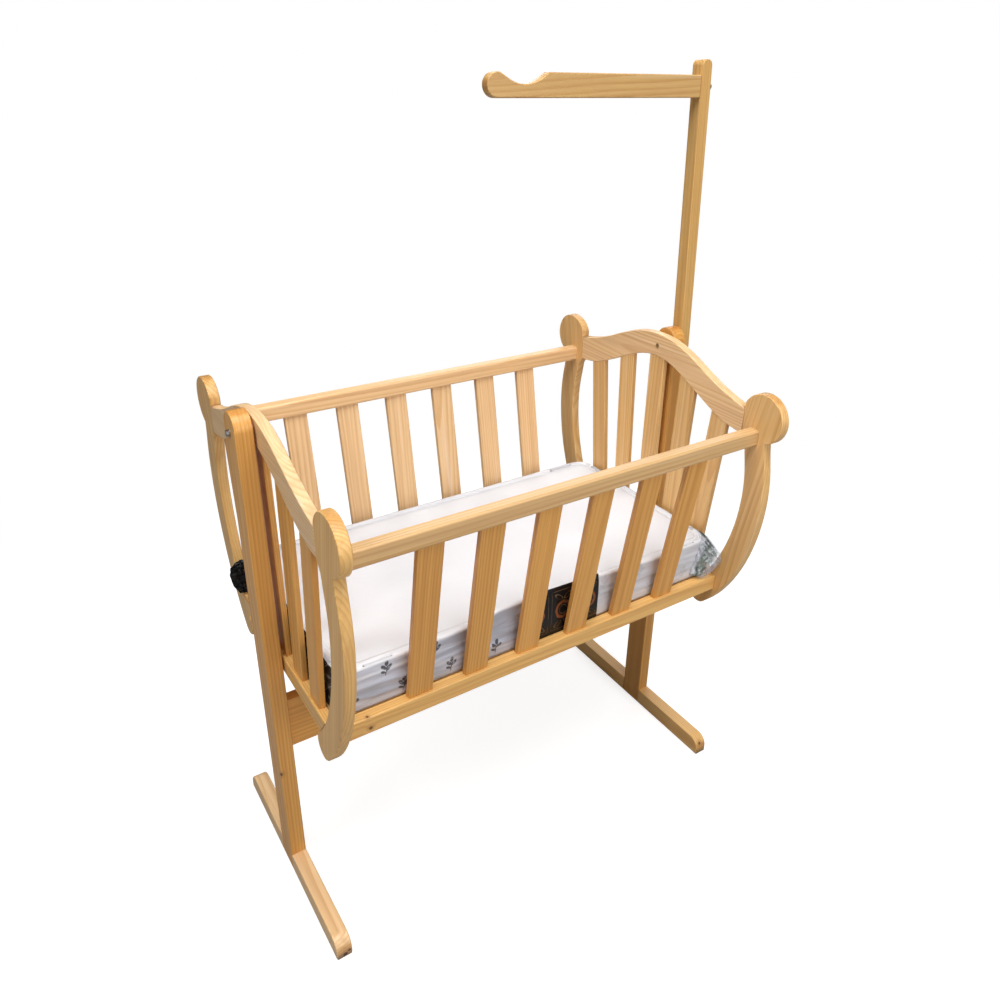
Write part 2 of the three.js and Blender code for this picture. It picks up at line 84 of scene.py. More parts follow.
# How much more orange than the rest the boards of a kind are, and how much lighter: painted
# light and shade, partly also the boards' own tone. Boards in shade, such as the right post and
# the front slats, are darker or more orange, and boards lit brightly, such as the arches and the
# back slats, lighter and paler. A value below 0 makes a board less orange, or darker.
BOARD_TONES_AND_SHADE = {
    "front_slat_": (1.0, 0.0),
    "left_post": (0.9, 0.0),
    "right_post": (1.0, -1.6),
    "stretcher": (1.0, 0.0),
    "end_slat_left_": (0.9, -0.3),
    "end_slat_right_": (-0.3, 0.2),
    "back_slat_": (-1.0, 0.2),
    "top_rail_back": (-0.9, 0.5),
    "top_rail_front": (-0.6, -1.7),
    "arch_": (-1.0, 0.6),
    "leg_left_": (-0.1, -0.1),
    "leg_right_": (-0.3, -0.3),
    "left_foot": (-1.0, 0.5),
    "right_foot": (-0.2, 0.2),
    "net_arm": (-0.2, -2.6),
    "net_pole": (0.0, -1.8),
}
PLAIN_TONE = (0.15, 0.0)


# Settings that a user would change


class PineSettings(PropertyGroup):
    early_wood: FloatVectorProperty(
        name="Early wood",
        description="Colour of the wide pale part of each year ring",
        subtype="COLOR",
        default=(0.84, 0.505, 0.172),
        min=0, max=1,
    )
    late_wood: FloatVectorProperty(
        name="Late wood",
        description="Colour of the narrow dark line of each year ring",
        subtype="COLOR",
        default=(0.58, 0.25, 0.045),
        min=0, max=1,
    )
    knot_wood: FloatVectorProperty(
        name="Knots",
        description="Colour of the pin knots",
        subtype="COLOR",
        default=(0.14, 0.055, 0.02),
        min=0, max=1,
    )
    ring_width: FloatProperty(
        name="Ring width",
        description="Mean width of a year ring",
        subtype="DISTANCE",
        default=0.0052,
        min=0.001, max=0.02,
    )
    ring_contrast: FloatProperty(
        name="Ring contrast",
        description="How dark the late wood shows against the early wood",
        default=0.55,
        min=0, max=1,
    )
    lacquer: FloatProperty(
        name="Lacquer",
        description="Weight of the clear lacquer's gloss",
        default=0.2,
        min=0, max=1,
    )


class BedSettings(PropertyGroup):
    cover: FloatVectorProperty(
        name="Cover",
        description="Colour of the mattress cover",
        subtype="COLOR",
        default=(0.79, 0.80, 0.835),
        min=0, max=1,
    )
    film: FloatVectorProperty(
        name="Film",
        description="Colour that the film gives to the mattress sides",
        subtype="COLOR",
        default=(0.64, 0.66, 0.76),
        min=0, max=1,
    )
    print_ink: FloatVectorProperty(
        name="Print",
        description="Colour of the small sprigs printed on the film",
        subtype="COLOR",
        default=(0.035, 0.035, 0.05),
        min=0, max=1,
    )
    label: FloatVectorProperty(
        name="Card",
        description="Ground colour of the cards and of the black film",
        subtype="COLOR",
        default=(0.006, 0.006, 0.007),
        min=0, max=1,
    )
    corner: FloatProperty(
        name="Corner radius",
        description="Radius of the mattress's upright corners",
        subtype="DISTANCE",
        default=0.034,
        min=0.005, max=0.1,
    )
    fold_height: FloatProperty(
        name="Fold height",
        description="How far the film's folds stand out",
        subtype="DISTANCE",
        default=0.0036,
        min=0, max=0.01,
    )
    card_lines: FloatVectorProperty(
        name="Card lines",
        description="Colour of the ornament's lines on the front card",
        subtype="COLOR",
        default=(0.30, 0.17, 0.085),
        min=0, max=1,
    )
    fill: FloatProperty(
        name="Fill",
        description="How tight the mattress is filled",
        default=0.9,
        min=0, max=1,
    )
    pressure: FloatProperty(
        name="Pressure",
        description="Air pressure of the simulation that puffs the cover",
        default=4.0,
        min=0, max=20,
    )
    puff: FloatProperty(
        name="Puff",
        description="The furthest that the cover may swell from the foam block",
        subtype="DISTANCE",
        default=0.0025,
        min=0, max=0.02,
    )


class SteelSettings(PropertyGroup):
    zinc: FloatVectorProperty(
        name="Zinc",
        description="Colour of the zinc-plated bolts, screws and washers",
        subtype="COLOR",
        default=(0.50, 0.50, 0.49),
        min=0, max=1,
    )
    yellow: FloatVectorProperty(
        name="Yellow plating",
        description="Colour of the sleeve nuts in the arches",
        subtype="COLOR",
        default=(0.58, 0.42, 0.22),
        min=0, max=1,
    )
    chamfer: FloatProperty(
        name="Chamfer",
        description="Slope of the chamfer on the heads of bolts and screws",
        subtype="ANGLE",
        default=math.radians(30),
        min=0.1, max=1.2,
    )


class StageSettings(PropertyGroup):
    floor: FloatVectorProperty(
        name="Floor",
        description="Colour of the light that the floor throws back",
        subtype="COLOR",
        default=(0.36, 0.36, 0.36),
        min=0, max=1,
    )
    ambient: FloatProperty(
        name="Ambient",
        description="Strength of the even light from all round",
        default=0.11,
        min=0, max=2,
    )
    key: FloatProperty(
        name="Key",
        description="Power of the large lamp above the object",
        subtype="POWER",
        default=129,
        min=0,
    )
    fill: FloatProperty(
        name="Fill",
        description="Power of the wide lamp in front",
        subtype="POWER",
        default=29,
        min=0,
    )
    left: FloatProperty(
        name="Left",
        description="Power of the high lamp on the left, which lights the end frames",
        subtype="POWER",
        default=45,
        min=0,
    )
    rim: FloatProperty(
        name="Rim",
        description="Power of the lamp behind, which gives top faces their gloss",
        subtype="POWER",
        default=20,
        min=0,
    )


# Nodes of a material


WHITE = (1.0, 1.0, 1.0, 1.0)


class Shades:
    """The nodes of a new material or world, added one call at a time."""

    def __init__(self, owner):
        self.owner = owner
        owner.use_nodes = True
        self.nodes = owner.node_tree.nodes
        self.links = owner.node_tree.links
        self.nodes.clear()

    @classmethod
    def material(cls, name):
        return cls(bpy.data.materials.new(name))

    def add(self, kind, inputs=(), **settings):
        """A node with its settings and inputs. An input is a value or another node's output."""
        node = self.nodes.new(kind)
        for name, value in settings.items():
            setattr(node, name, value)
        for socket, value in dict(inputs).items():
            if isinstance(value, bpy.types.NodeSocket):
                self.links.new(value, node.inputs[socket])
            else:
                node.inputs[socket].default_value = value
        return node

    def math(self, operation, a, b=0.0, c=0.0):
        return self.add("ShaderNodeMath", {0: a, 1: b, 2: c}, operation=operation).outputs[0]

    def times(self, a, b):
        return self.math("MULTIPLY", a, b)

    def most(self, *values):
        """The greatest of the values."""
        return functools.reduce(lambda a, b: self.math("MAXIMUM", a, b), values)

    def least(self, *values):
        return functools.reduce(lambda a, b: self.math("MINIMUM", a, b), values)

    def vector(self, operation, a, b=(0, 0, 0), scale=None):
        inputs = {0: a, 1: b}
        if scale is not None:
            inputs[3] = scale
        node = self.add("ShaderNodeVectorMath", inputs, operation=operation)
        plain = operation in ("LENGTH", "DISTANCE", "DOT_PRODUCT")
        return node.outputs["Value" if plain else "Vector"]

    def ramp(self, value, low, high, start=0.0, end=1.0, smooth=True):
        """The value taken from one range to another, held at the ends."""
        node = self.add(
            "ShaderNodeMapRange",
            {"Value": value, 1: low, 2: high, 3: start, 4: end},
            interpolation_type="SMOOTHSTEP" if smooth else "LINEAR",
        )
        return node.outputs[0]

    def noise(self, place, scale, detail=2.0, roughness=0.5):
        """Noise at a place, with its own scale along each axis."""
        scaled = self.vector("MULTIPLY", place, scale)
        node = self.add(
            "ShaderNodeTexNoise",
            {"Vector": scaled, "Scale": 1.0, "Detail": detail, "Roughness": roughness},
        )
        return node.outputs["Fac"]

    def mix(self, factor, a, b):
        """A colour between two, each of them three values or another node's output."""
        ends = [c if isinstance(c, bpy.types.NodeSocket) else (*c, 1.0) for c in (a, b)]
        inputs = {0: factor, 6: ends[0], 7: ends[1]}
        return self.add("ShaderNodeMix", inputs, data_type="RGBA").outputs[2]

    def place(self):
        return self.add("ShaderNodeTexCoord").outputs["Object"]

    def normal(self):
        return self.add("ShaderNodeTexCoord").outputs["Normal"]

    def parts(self, vector):
        """The x, y and z of a vector."""
        return self.add("ShaderNodeSeparateXYZ", {0: vector}).outputs

    def joined(self, x=0.0, y=0.0, z=0.0):
        return self.add("ShaderNodeCombineXYZ", {0: x, 1: y, 2: z}).outputs[0]

    def seen(self):
        """1 where the camera looks, also through clear film, and 0 for all other light."""
        path = self.add("ShaderNodeLightPath").outputs
        return self.most(path["Is Camera Ray"], path["Is Transmission Ray"])

    def attribute(self, name, output="Vector"):
        return self.add("ShaderNodeAttribute", attribute_name=name).outputs[output]

    def bump(self, height, strength, distance):
        node = self.add(
            "ShaderNodeBump",
            {"Height": height, "Strength": strength, "Distance": distance},
        )
        return node.outputs[0]

    def surface(self, **inputs):
        """Ends the material in a Principled shader with these inputs."""
        named = {name.replace("_", " "): value for name, value in inputs.items()}
        shader = self.add("ShaderNodeBsdfPrincipled", named)
        return self.end(shader)

    def choose(self, factor, a, b):
        """A shader between two shaders."""
        inputs = {0: factor, 1: a.outputs[0], 2: b.outputs[0]}
        return self.add("ShaderNodeMixShader", inputs)

    def end(self, shader, kind="Material"):
        """Ends the material or world in this shader."""
        self.add(f"ShaderNodeOutput{kind}", {"Surface": shader.outputs[0]})
        return self.owner


# Pin knots that show in the photograph: a point on the board and a radius
KNOTS = (
    ((-0.3845, -0.244, 0.4974), 0.0035),
    ((-0.3880, -0.240, 0.5200), 0.0025),
    ((-0.4860, -0.029, 0.2594), 0.0040),
    ((-0.4700, -0.258, 0.0060), 0.0045),
    ((-0.4620, -0.258, 0.0120), 0.0030),
    ((0.4420, -0.240, 0.0260), 0.0035),
)


def knots_near(shades):
    """Distance to the nearest knot, in knot radii."""
    place = shades.place()
    return shades.least(
        *(
            shades.math("DIVIDE", shades.vector("DISTANCE", place, centre), radius)
            for centre, radius in KNOTS
        )
    )


# Colours within the pine, and what a colour is multiplied by for another kind of wood; the
# orange and the sapwood ones also carry the painted light and shade of the boards' warmth
WARM_STREAK = (0.62, 0.315, 0.105)
PALE_STREAK = (0.90, 0.66, 0.36)
KNOT_HALO = (0.45, 0.19, 0.055)
TO_ORANGE = (0.97, 0.82, 0.62)
TO_SAPWOOD = (1.02, 1.15, 1.80)
TO_END_GRAIN = (0.80, 0.70, 0.58)
TONE_STEP = 0.08


def pine_material(settings):
    """Clear-lacquered pine. The grain attribute holds, for each point of a board, its place
    along the trunk and its two distances from the heart of the trunk."""
    shades = Shades.material("lacquered_pine")
    grain = shades.attribute("grain")
    tone = shades.attribute("tone", "Fac")
    knot = knots_near(shades)

    _, width, thickness = shades.parts(grain)
    radius = shades.vector("LENGTH", shades.joined(0.0, width, thickness))
    wander = shades.noise(grain, (1.7, 11, 11), detail=2)
    bent = shades.math("MULTIPLY_ADD", wander, 0.012, radius)
    swirl = shades.ramp(knot, 0.5, 5.0, 0.0022, 0.0)
    bent = shades.math("ADD", bent, swirl)
    lean_years = shades.add(
        "ShaderNodeTexNoise",
        {"W": shades.times(bent, 42.0), "Scale": 1.0, "Detail": 2.0},
        noise_dimensions="1D",
    ).outputs["Fac"]
    years = shades.math("DIVIDE", bent, settings.ring_width)
    years = shades.math("MULTIPLY_ADD", lean_years, 2.4, years)
    season = shades.math("FRACT", years)
    rise = shades.ramp(season, 0.30, 0.90)
    fall = shades.ramp(season, 0.93, 1.0, 1.0, 0.0)
    late = shades.times(rise, fall)

    patchy = shades.noise(grain, (1.3, 30, 30), detail=2)
    contrast = settings.ring_contrast
    strength = shades.ramp(patchy, 0.3, 0.7, 0.45 * contrast, contrast)
    rings = shades.times(late, strength)
    colour = shades.mix(rings, settings.early_wood, settings.late_wood)

    streak = shades.noise(grain, (0.9, 95, 95), detail=3, roughness=0.55)
    warm = shades.ramp(streak, 0.42, 0.72, 0.0, 0.45)
    colour = shades.mix(warm, colour, WARM_STREAK)
    pale = shades.ramp(streak, 0.42, 0.25, 0.0, 0.35)
    colour = shades.mix(pale, colour, PALE_STREAK)

    fibre = shades.noise(grain, (11, 1500, 1500), detail=2, roughness=0.6)
    fibre_shade = shades.ramp(fibre, 0.25, 0.75, 0.93, 1.05, smooth=False)
    # Painted light and shade: the board's tone, its painted lightness with a random spread,
    # makes it darker or lighter
    depth = shades.math("MULTIPLY_ADD", tone, TONE_STEP, fibre_shade)
    colour = shades.vector("SCALE", colour, scale=depth)
    # Painted shade, partly the board's own colour: its warmth makes it more orange or paler
    warmth = shades.attribute("warmth", "Fac")
    orange = shades.vector("MULTIPLY", colour, TO_ORANGE)
    colour = shades.mix(shades.ramp(warmth, 0.0, 1.0, smooth=False), colour, orange)
    sapwood = shades.vector("MULTIPLY", colour, TO_SAPWOOD)
    colour = shades.mix(shades.ramp(warmth, 0.0, -1.0, smooth=False), colour, sapwood)

    facing = shades.vector("DOT_PRODUCT", shades.normal(), shades.attribute("along"))
    end_grain = shades.ramp(shades.math("ABSOLUTE", facing), 0.80, 0.96)
    soaked = shades.vector("MULTIPLY", colour, TO_END_GRAIN)
    colour = shades.mix(end_grain, colour, soaked)

    halo = shades.ramp(knot, 1.0, 3.2, 0.45, 0.0)
    colour = shades.mix(halo, colour, KNOT_HALO)
    core = shades.ramp(knot, 0.75, 1.15, 0.9, 0.0)
    colour = shades.mix(core, colour, settings.knot_wood)

    relief = shades.math("MULTIPLY_ADD", late, -0.5, fibre)
    rough = shades.ramp(fibre, 0.2, 0.8, 0.40, 0.50, smooth=False)
    return shades.surface(
        Base_Color=colour,
        Roughness=rough,
        Specular_IOR_Level=0.3,
        Coat_Weight=settings.lacquer,
        Coat_Roughness=0.22,
        Normal=shades.bump(relief, 0.25, 0.0002),
    )


VENEER_THICKNESS = 0.0015
VENEER_FIGURE = (0.66, 0.40, 0.17)
GLUE_LINE = (0.36, 0.19, 0.08)


def plywood_material(settings):
    """Plain plywood: a knot-free face veneer, and thin layers on its edges."""
    shades = Shades.material("plywood")
    grain = shades.attribute("grain")
    figure = shades.noise(grain, (2.0, 26, 8), detail=4, roughness=0.6)
    veneer = Vector(settings.early_wood) * 0.92
    colour = shades.mix(shades.ramp(figure, 0.3, 0.7), veneer, VENEER_FIGURE)
    layer = shades.math("PINGPONG", shades.parts(shades.place())[2], VENEER_THICKNESS)
    upright = shades.math("ABSOLUTE", shades.parts(shades.normal())[2])
    edge = shades.ramp(upright, 0.5, 0.8, 1.0, 0.0)
    glued = shades.times(shades.ramp(layer, 0.0006, 0.0009), edge)
    colour = shades.mix(shades.times(glued, 0.55), colour, GLUE_LINE)
    pores = shades.noise(grain, (25, 700, 700), detail=2)
    return shades.surface(
        Base_Color=colour,
        Roughness=shades.ramp(pores, 0.2, 0.8, 0.55, 0.7, smooth=False),
        Normal=shades.bump(pores, 0.2, 0.0002),
    )


def plating_material(name, metal, dull):
    """Metal plating with fine turning marks and duller patches."""
    shades = Shades.material(name)
    place = shades.place()
    patches = shades.noise(place, (260, 260, 260), detail=3)
    marks = shades.noise(place, (4000, 500, 500), detail=2)
    colour = shades.mix(shades.ramp(patches, 0.35, 0.7), metal, dull)
    return shades.surface(
        Base_Color=colour,
        Metallic=1.0,
        Roughness=shades.ramp(patches, 0.3, 0.7, 0.24, 0.42, smooth=False),
        Normal=shades.bump(marks, 0.15, 0.0001),
    )


DULL_ZINC = (0.36, 0.36, 0.38)
DULL_YELLOW = (0.40, 0.30, 0.17)


def zinc_material(settings):
    return plating_material("zinc_plating", settings.zinc, DULL_ZINC)


def yellow_material(settings):
    return plating_material("yellow_plating", settings.yellow, DULL_YELLOW)


THREAD_PITCH = 0.0022
GREY_THREAD = (0.70, 0.70, 0.74)


def cover_material(settings):
    """White woven cover: a fine plain weave, a soft sheen and faint hollows of tone."""
    shades = Shades.material("woven_cover")
    place = shades.place()
    x, y, _ = shades.parts(place)
    thread = 2 * math.pi / THREAD_PITCH
    warp = shades.math("SINE", shades.times(x, thread))
    weft = shades.math("SINE", shades.times(y, thread))
    weave = shades.times(warp, weft)
    cloud = shades.noise(place, (7, 7, 20), detail=3)
    slub = shades.noise(place, (40, 420, 420), detail=2)
    hollow = Vector(settings.cover) * 0.965
    tint = shades.mix(shades.ramp(cloud, 0.35, 0.65), settings.cover, hollow)
    tint = shades.mix(shades.ramp(slub, 0.55, 0.8, 0, 0.25), tint, GREY_THREAD)
    relief = shades.math("MULTIPLY_ADD", slub, 0.6, shades.times(weave, 0.5))
    return shades.surface(
        Base_Color=tint,
        Roughness=shades.ramp(slub, 0.2, 0.8, 0.78, 0.9, smooth=False),
        Sheen_Weight=0.15,
        Normal=shades.bump(relief, 0.25, 0.0003),
    )


# Copies of boards, with the run of their grain


def body_of(node):
    """Name of the body that a CAD node belongs to."""
    for body, members in frame["record"]["behaviour"]["bodies"].items():
        if node in members:
            return body
    raise ValueError(f"no body holds {node}")


def add_piece(name, shape, material, smooth_angle, keep_flat=True):
    """A piece from a finished bmesh, shaded smooth up to an angle, its flat faces kept flat."""
    mesh = bpy.data.meshes.new(name)
    shape.to_mesh(mesh)
    shape.free()
    mesh.materials.append(material)
    mesh.polygons.foreach_set("use_smooth", [True] * len(mesh.polygons))
    mesh.set_sharp_from_angle(angle=smooth_angle)
    piece = bpy.data.objects.new(name, mesh)
    bpy.context.scene.collection.objects.link(piece)
    if keep_flat:
        even = piece.modifiers.new("even normals", "WEIGHTED_NORMAL")
        even.weight = 100
        even.keep_sharp = True
    return piece


def run_of_grain(points):
    """Directions along the grain, across the width and through the thickness of a board,
    from its points: the grain joins the middles of its two halves."""
    middle = (points.min(0) + points.max(0)) / 2
    longest = int(np.argmax(np.ptp(points, axis=0)))
    far = points[:, longest] > middle[longest]
    along = Vector(points[far].mean(0) - points[~far].mean(0)).normalized()
    side = Vector((0, 1, 0)) if longest == 0 else Vector((1, 0, 0))
    side = (side - along * side.dot(along)).normalized()
    other = along.cross(side)
    spans = [np.ptp(points @ np.array(axis)) for axis in (side, other)]
    return (along, side, other) if spans[0] > spans[1] else (along, other, side)


# How a board lies in its trunk: the heart's distance and the trunk's length in metres, the
# turn of its rings and the heart's lean in degrees, and the share of boards sawn the other way
HEART_DISTANCE = (0.045, 0.12)
TRUNK_LENGTH = 18.0
FLAT_SAWN_TURN = 38
QUARTER_SAWN_TURN = 25
QUARTER_SAWN_SHARE = 0.25
HEART_LEAN = 1.3
TONE_SPREAD = 0.6


def give_grain(mesh, dice, warmth, painted_lightness):
    """Writes the grain, along, tone and warmth of a board cut at random from a trunk. Its tone
    and warmth also carry the board's painted light and shade.
    """
    points = np.array([vertex.co for vertex in mesh.vertices], float)
    along, width, thickness = run_of_grain(points)
    middle = (points.min(0) + points.max(0)) / 2
    place = (points - middle) @ np.array([along, width, thickness]).T
    turn = dice.choice((-1, 1)) * (90 + dice.uniform(-FLAT_SAWN_TURN, FLAT_SAWN_TURN))
    if dice.random() < QUARTER_SAWN_SHARE:
        turn = dice.uniform(-QUARTER_SAWN_TURN, QUARTER_SAWN_TURN)
    turn = math.radians(turn)
    distance = dice.uniform(*HEART_DISTANCE)
    lean = [math.tan(math.radians(dice.uniform(-HEART_LEAN, HEART_LEAN))) for _ in range(2)]
    place[:, 1] += distance * math.cos(turn) + place[:, 0] * lean[0]
    place[:, 2] += distance * math.sin(turn) + place[:, 0] * lean[1]
    place[:, 0] += dice.uniform(0.0, TRUNK_LENGTH)
    # A random tone plus the board's painted lightness, a painted light and shade
    tone = dice.uniform(-TONE_SPREAD, TONE_SPREAD) + painted_lightness
    for name, values in (("grain", place), ("along", np.tile(along, (len(points), 1)))):
        data = mesh.attributes.new(name, "FLOAT_VECTOR", "POINT").data
        data.foreach_set("vector", values.astype(np.float32).ravel())
    for name, value in (("tone", tone), ("warmth", warmth)):
        data = mesh.attributes.new(name, "FLOAT", "POINT").data
        data.foreach_set("value", np.full(len(points), value, np.float32))


MERGE = 1e-5
FLAT_ANGLE = math.radians(0.4)
BOARD_SMOOTH = math.radians(52)
STEEL_SMOOTH = math.radians(35)
SHEET_SMOOTH = math.radians(60)


def dress_board(node, material):
    """A copy of a board's solid, merged, with long flat faces and the run of its grain."""
    shape = bmesh.new()
    shape.from_mesh(frame["nodes"][node].data)
    bmesh.ops.remove_doubles(shape, verts=shape.verts, dist=MERGE)
    bmesh.ops.dissolve_limit(
        shape, angle_limit=FLAT_ANGLE, verts=shape.verts, edges=shape.edges
    )
    piece = add_piece(f"{node}_board", shape, material, BOARD_SMOOTH)
    tones = [tone for start, tone in BOARD_TONES_AND_SHADE.items() if node.startswith(start)]
    give_grain(piece.data, random.Random(node), *(tones or [PLAIN_TONE])[0])
    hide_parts(node)
    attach(piece, body_of(node))
    return piece


made_materials = {}


def shared_material(make, settings):
    """The material that a maker function gives, made once."""
    if make not in made_materials:
        made_materials[make] = make(settings)
    return made_materials[make]


def dress_boards(starts):
    """Dresses the boards whose names start so in pine."""
    pine = shared_material(pine_material, bpy.context.scene.cradle_pine)
    for part in frame["record"]["subparts"]:
        if part["node"].startswith(starts):
            dress_board(part["node"], pine)


class CRADLE_OT_dress_stand(Operator):
    """Dress the posts, the feet and the stretcher in lacquered pine"""

    bl_idname = "cradle.dress_stand"
    bl_label = "Stand"

    def execute(self, context):
        dress_boards(STAND_BOARDS)
        return {"FINISHED"}


class CRADLE_OT_dress_net_pole(Operator):
    """Dress the net pole and its hooked arm in lacquered pine"""

    bl_idname = "cradle.dress_net_pole"
    bl_label = "Net pole"

    def execute(self, context):
        dress_boards(NET_BOARDS)
        return {"FINISHED"}


class CRADLE_OT_dress_end_frames(Operator):
    """Dress the eared legs, arches, rails and slats of both end frames"""

    bl_idname = "cradle.dress_end_frames"
    bl_label = "End frames"

    def execute(self, context):
        dress_boards(END_FRAME_BOARDS)
        return {"FINISHED"}


class CRADLE_OT_dress_sides(Operator):
    """Dress the rails and slats of both long sides"""

    bl_idname = "cradle.dress_sides"
    bl_label = "Sides"

    def execute(self, context):
        dress_boards(SIDE_BOARDS)
        return {"FINISHED"}


class CRADLE_OT_dress_bed(Operator):
    """Dress the mattress board and the two strips that carry it"""

    bl_idname = "cradle.dress_bed"
    bl_label = "Mattress board"

    def execute(self, context):
        dress_boards(BED_BOARDS)
        plywood = plywood_material(context.scene.cradle_pine)
        dress_board("mattress_board", plywood)
        return {"FINISHED"}


# Bolts, screws, washers and nuts, turned about an axis along x


TURNED_SIDES = 48


def direction(turn):
    """The plane direction at an angle."""
    return Vector((math.cos(turn), math.sin(turn)))


def turned(loops, ring=False):
    """A body turned about x: each loop is its place along x and its radius, which may be a
    function of the angle. A ring joins its last loop to its first; any other body is closed
    by a face at each end."""
    shape = bmesh.new()
    rows = []
    for x, radius in loops:
        rows.append([])
        for i in range(TURNED_SIDES):
            turn = 2 * math.pi * i / TURNED_SIDES
            away = direction(turn) * (radius(turn) if callable(radius) else radius)
            rows[-1].append(shape.verts.new((x, *away)))
    for low, high in zip(rows, rows[1:] + rows[:1] if ring else rows[1:]):
        for i in range(TURNED_SIDES):
            shape.faces.new((low[i - 1], low[i], high[i], high[i - 1]))
    if not ring:
        for row in (rows[0], rows[-1]):
            shape.faces.new(row)
    bmesh.ops.recalc_face_normals(shape, faces=shape.faces)
    return shape


def hexagon(flat):
    """Radius of a hexagon at an angle, from half its width across flats."""
    sixth = math.pi / 3
    return lambda turn: flat / math.cos((turn % sixth) - sixth / 2)


# Sizes of the bolts and screws, and the tip's and the thread root's share of the shank
ACROSS_FLATS = 0.010
HEAD_HEIGHT = 0.004
SHANK = 0.003
SCREW_PITCH = 0.00125
MOST_THREAD = 0.022
TIP = 0.0009
TIP_SHARE = 0.72
ROOT_SHARE = 0.86

# Radius of the washers' and nuts' bores, thickness of a nut's closed end, a washer's rounding
BORE = 0.0033
NUT_CAP = 0.003
WASHER_EDGE = 0.0003


def turned_size(node):
    """Length and radius of a CAD node that is turned about x."""
    low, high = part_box(node)
    return high.x - low.x, (high.z - low.z) / 2


def steel_piece(node, loops, outward=1, ring=False, plating=zinc_material):
    """A plated piece in the place of its CAD node, whose loops run from its inner end out."""
    shape = turned(loops, ring)
    low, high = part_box(node)
    if outward < 0:
        half_turn = Matrix.Rotation(math.pi, 3, "Z")
        bmesh.ops.rotate(shape, verts=shape.verts, cent=(0, 0, 0), matrix=half_turn)
    middle = (low + high) / 2
    place = (low.x if outward > 0 else high.x, middle.y, middle.z)
    bmesh.ops.translate(shape, verts=shape.verts, vec=place)
    metal = shared_material(plating, bpy.context.scene.cradle_steel)
    piece = add_piece(f"{node}_steel", shape, metal, STEEL_SMOOTH, keep_flat=False)
    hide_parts(node)
    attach(piece, STAND)


def make_bolt(node, outward, slope):
    """A hexagon bolt or screw whose chamfered head looks outwards, threaded at its end."""
    length, _ = turned_size(node)
    loops = [(0.0, SHANK * TIP_SHARE), (TIP, SHANK * 0.98)]
    for i in range(int(min(MOST_THREAD, length / 3) / SCREW_PITCH)):
        start = TIP + i * SCREW_PITCH
        loops.append((start + SCREW_PITCH * 0.5, SHANK * ROOT_SHARE))
        loops.append((start + SCREW_PITCH, SHANK))
    six = hexagon(ACROSS_FLATS / 2)
    rim = ACROSS_FLATS / 2 * 0.95
    drop = (six(0.0) - rim) * math.tan(slope)
    seat = length - HEAD_HEIGHT
    loops += [(seat, SHANK), (seat, six), (length - drop, six), (length, rim)]
    steel_piece(node, loops, outward)


def make_sleeve_nut(node, outward):
    """A closed round nut: its domed face looks into the cradle, its bore looks outwards."""
    length, radius = turned_size(node)
    edge = radius * 0.14
    loops = [
        (0.0, radius * 0.55),
        (edge * 0.4, radius - edge),
        (edge * 1.4, radius),
        (length - edge, radius),
        (length, radius - edge),
        (length, BORE * 1.12),
        (length - edge, BORE),
        (NUT_CAP, BORE),
    ]
    steel_piece(node, loops, outward, plating=yellow_material)


def make_washer(node):
    length, radius = turned_size(node)
    edge = min(WASHER_EDGE, length / 3)
    loops = [
        (edge, radius),
        (length - edge, radius),
        (length, radius - edge),
        (length, BORE + edge),
        (length - edge, BORE),
        (edge, BORE),
        (0.0, BORE + edge),
        (0.0, radius - edge),
    ]
    steel_piece(node, loops, ring=True)


class CRADLE_OT_make_fastenings(Operator):
    """Turn the pivot bolts, coach screws, washers and nuts with chamfers and threads"""

    bl_idname = "cradle.make_fastenings"
    bl_label = "Bolts and screws"

    def execute(self, context):
        slope = context.scene.cradle_steel.chamfer
        for name, outward in (("left", -1), ("right", 1)):
            make_bolt(f"pivot_bolt_{name}", outward, slope)
            make_sleeve_nut(f"pivot_nut_{name}", outward)
            make_washer(f"pivot_washer_{name}")
            make_washer(f"pivot_spacer_{name}")
        for name in ("pole", "arm"):
            make_bolt(f"{name}_screw", 1, slope)
            make_washer(f"{name}_washer")
        return {"FINISHED"}


# Mattress

# How far its top rises, how far its top and bottom edges draw in, and its cuts along x, y, z
CROWN = 0.003
DRAW = 0.003
MATTRESS_CUTS = (39, 23, 5)
FILM_STAND_OFF = 0.0010


def rim_point(way, corner):
    """Point where the film stands and its outward direction, a way in metres round the
    mattress from the middle of its left end by way of the front."""
    radius = corner + FILM_STAND_OFF
    bend = math.pi / 2 * radius
    reach, along = mattress_half.x - corner, mattress_half.y - corner
    way = (way + along) % rim_length(corner)
    heading = math.pi
    while way > 2 * along + bend:
        way -= 2 * along + bend
        heading += math.pi / 2
        reach, along = along, reach
    side = direction(heading)
    out = direction(heading + max(0.0, way - 2 * along) / radius)
    ahead = side.orthogonal() * (min(way, 2 * along) - along)
    return mattress_middle.xy + side * reach + ahead + out * radius, out


def rim_length(corner):
    """The way round the mattress where the film stands."""
    straight = 4 * (mattress_half.x - corner) + 4 * (mattress_half.y - corner)
    return straight + 2 * math.pi * (corner + FILM_STAND_OFF)


def front_ways(corner, places):
    """How far round the mattress each of the places along x on its front side is."""
    before = mattress_half.y - corner + math.pi / 2 * (corner + FILM_STAND_OFF)
    start = mattress_middle.x - mattress_half.x + corner
    return [before + x - start for x in places]


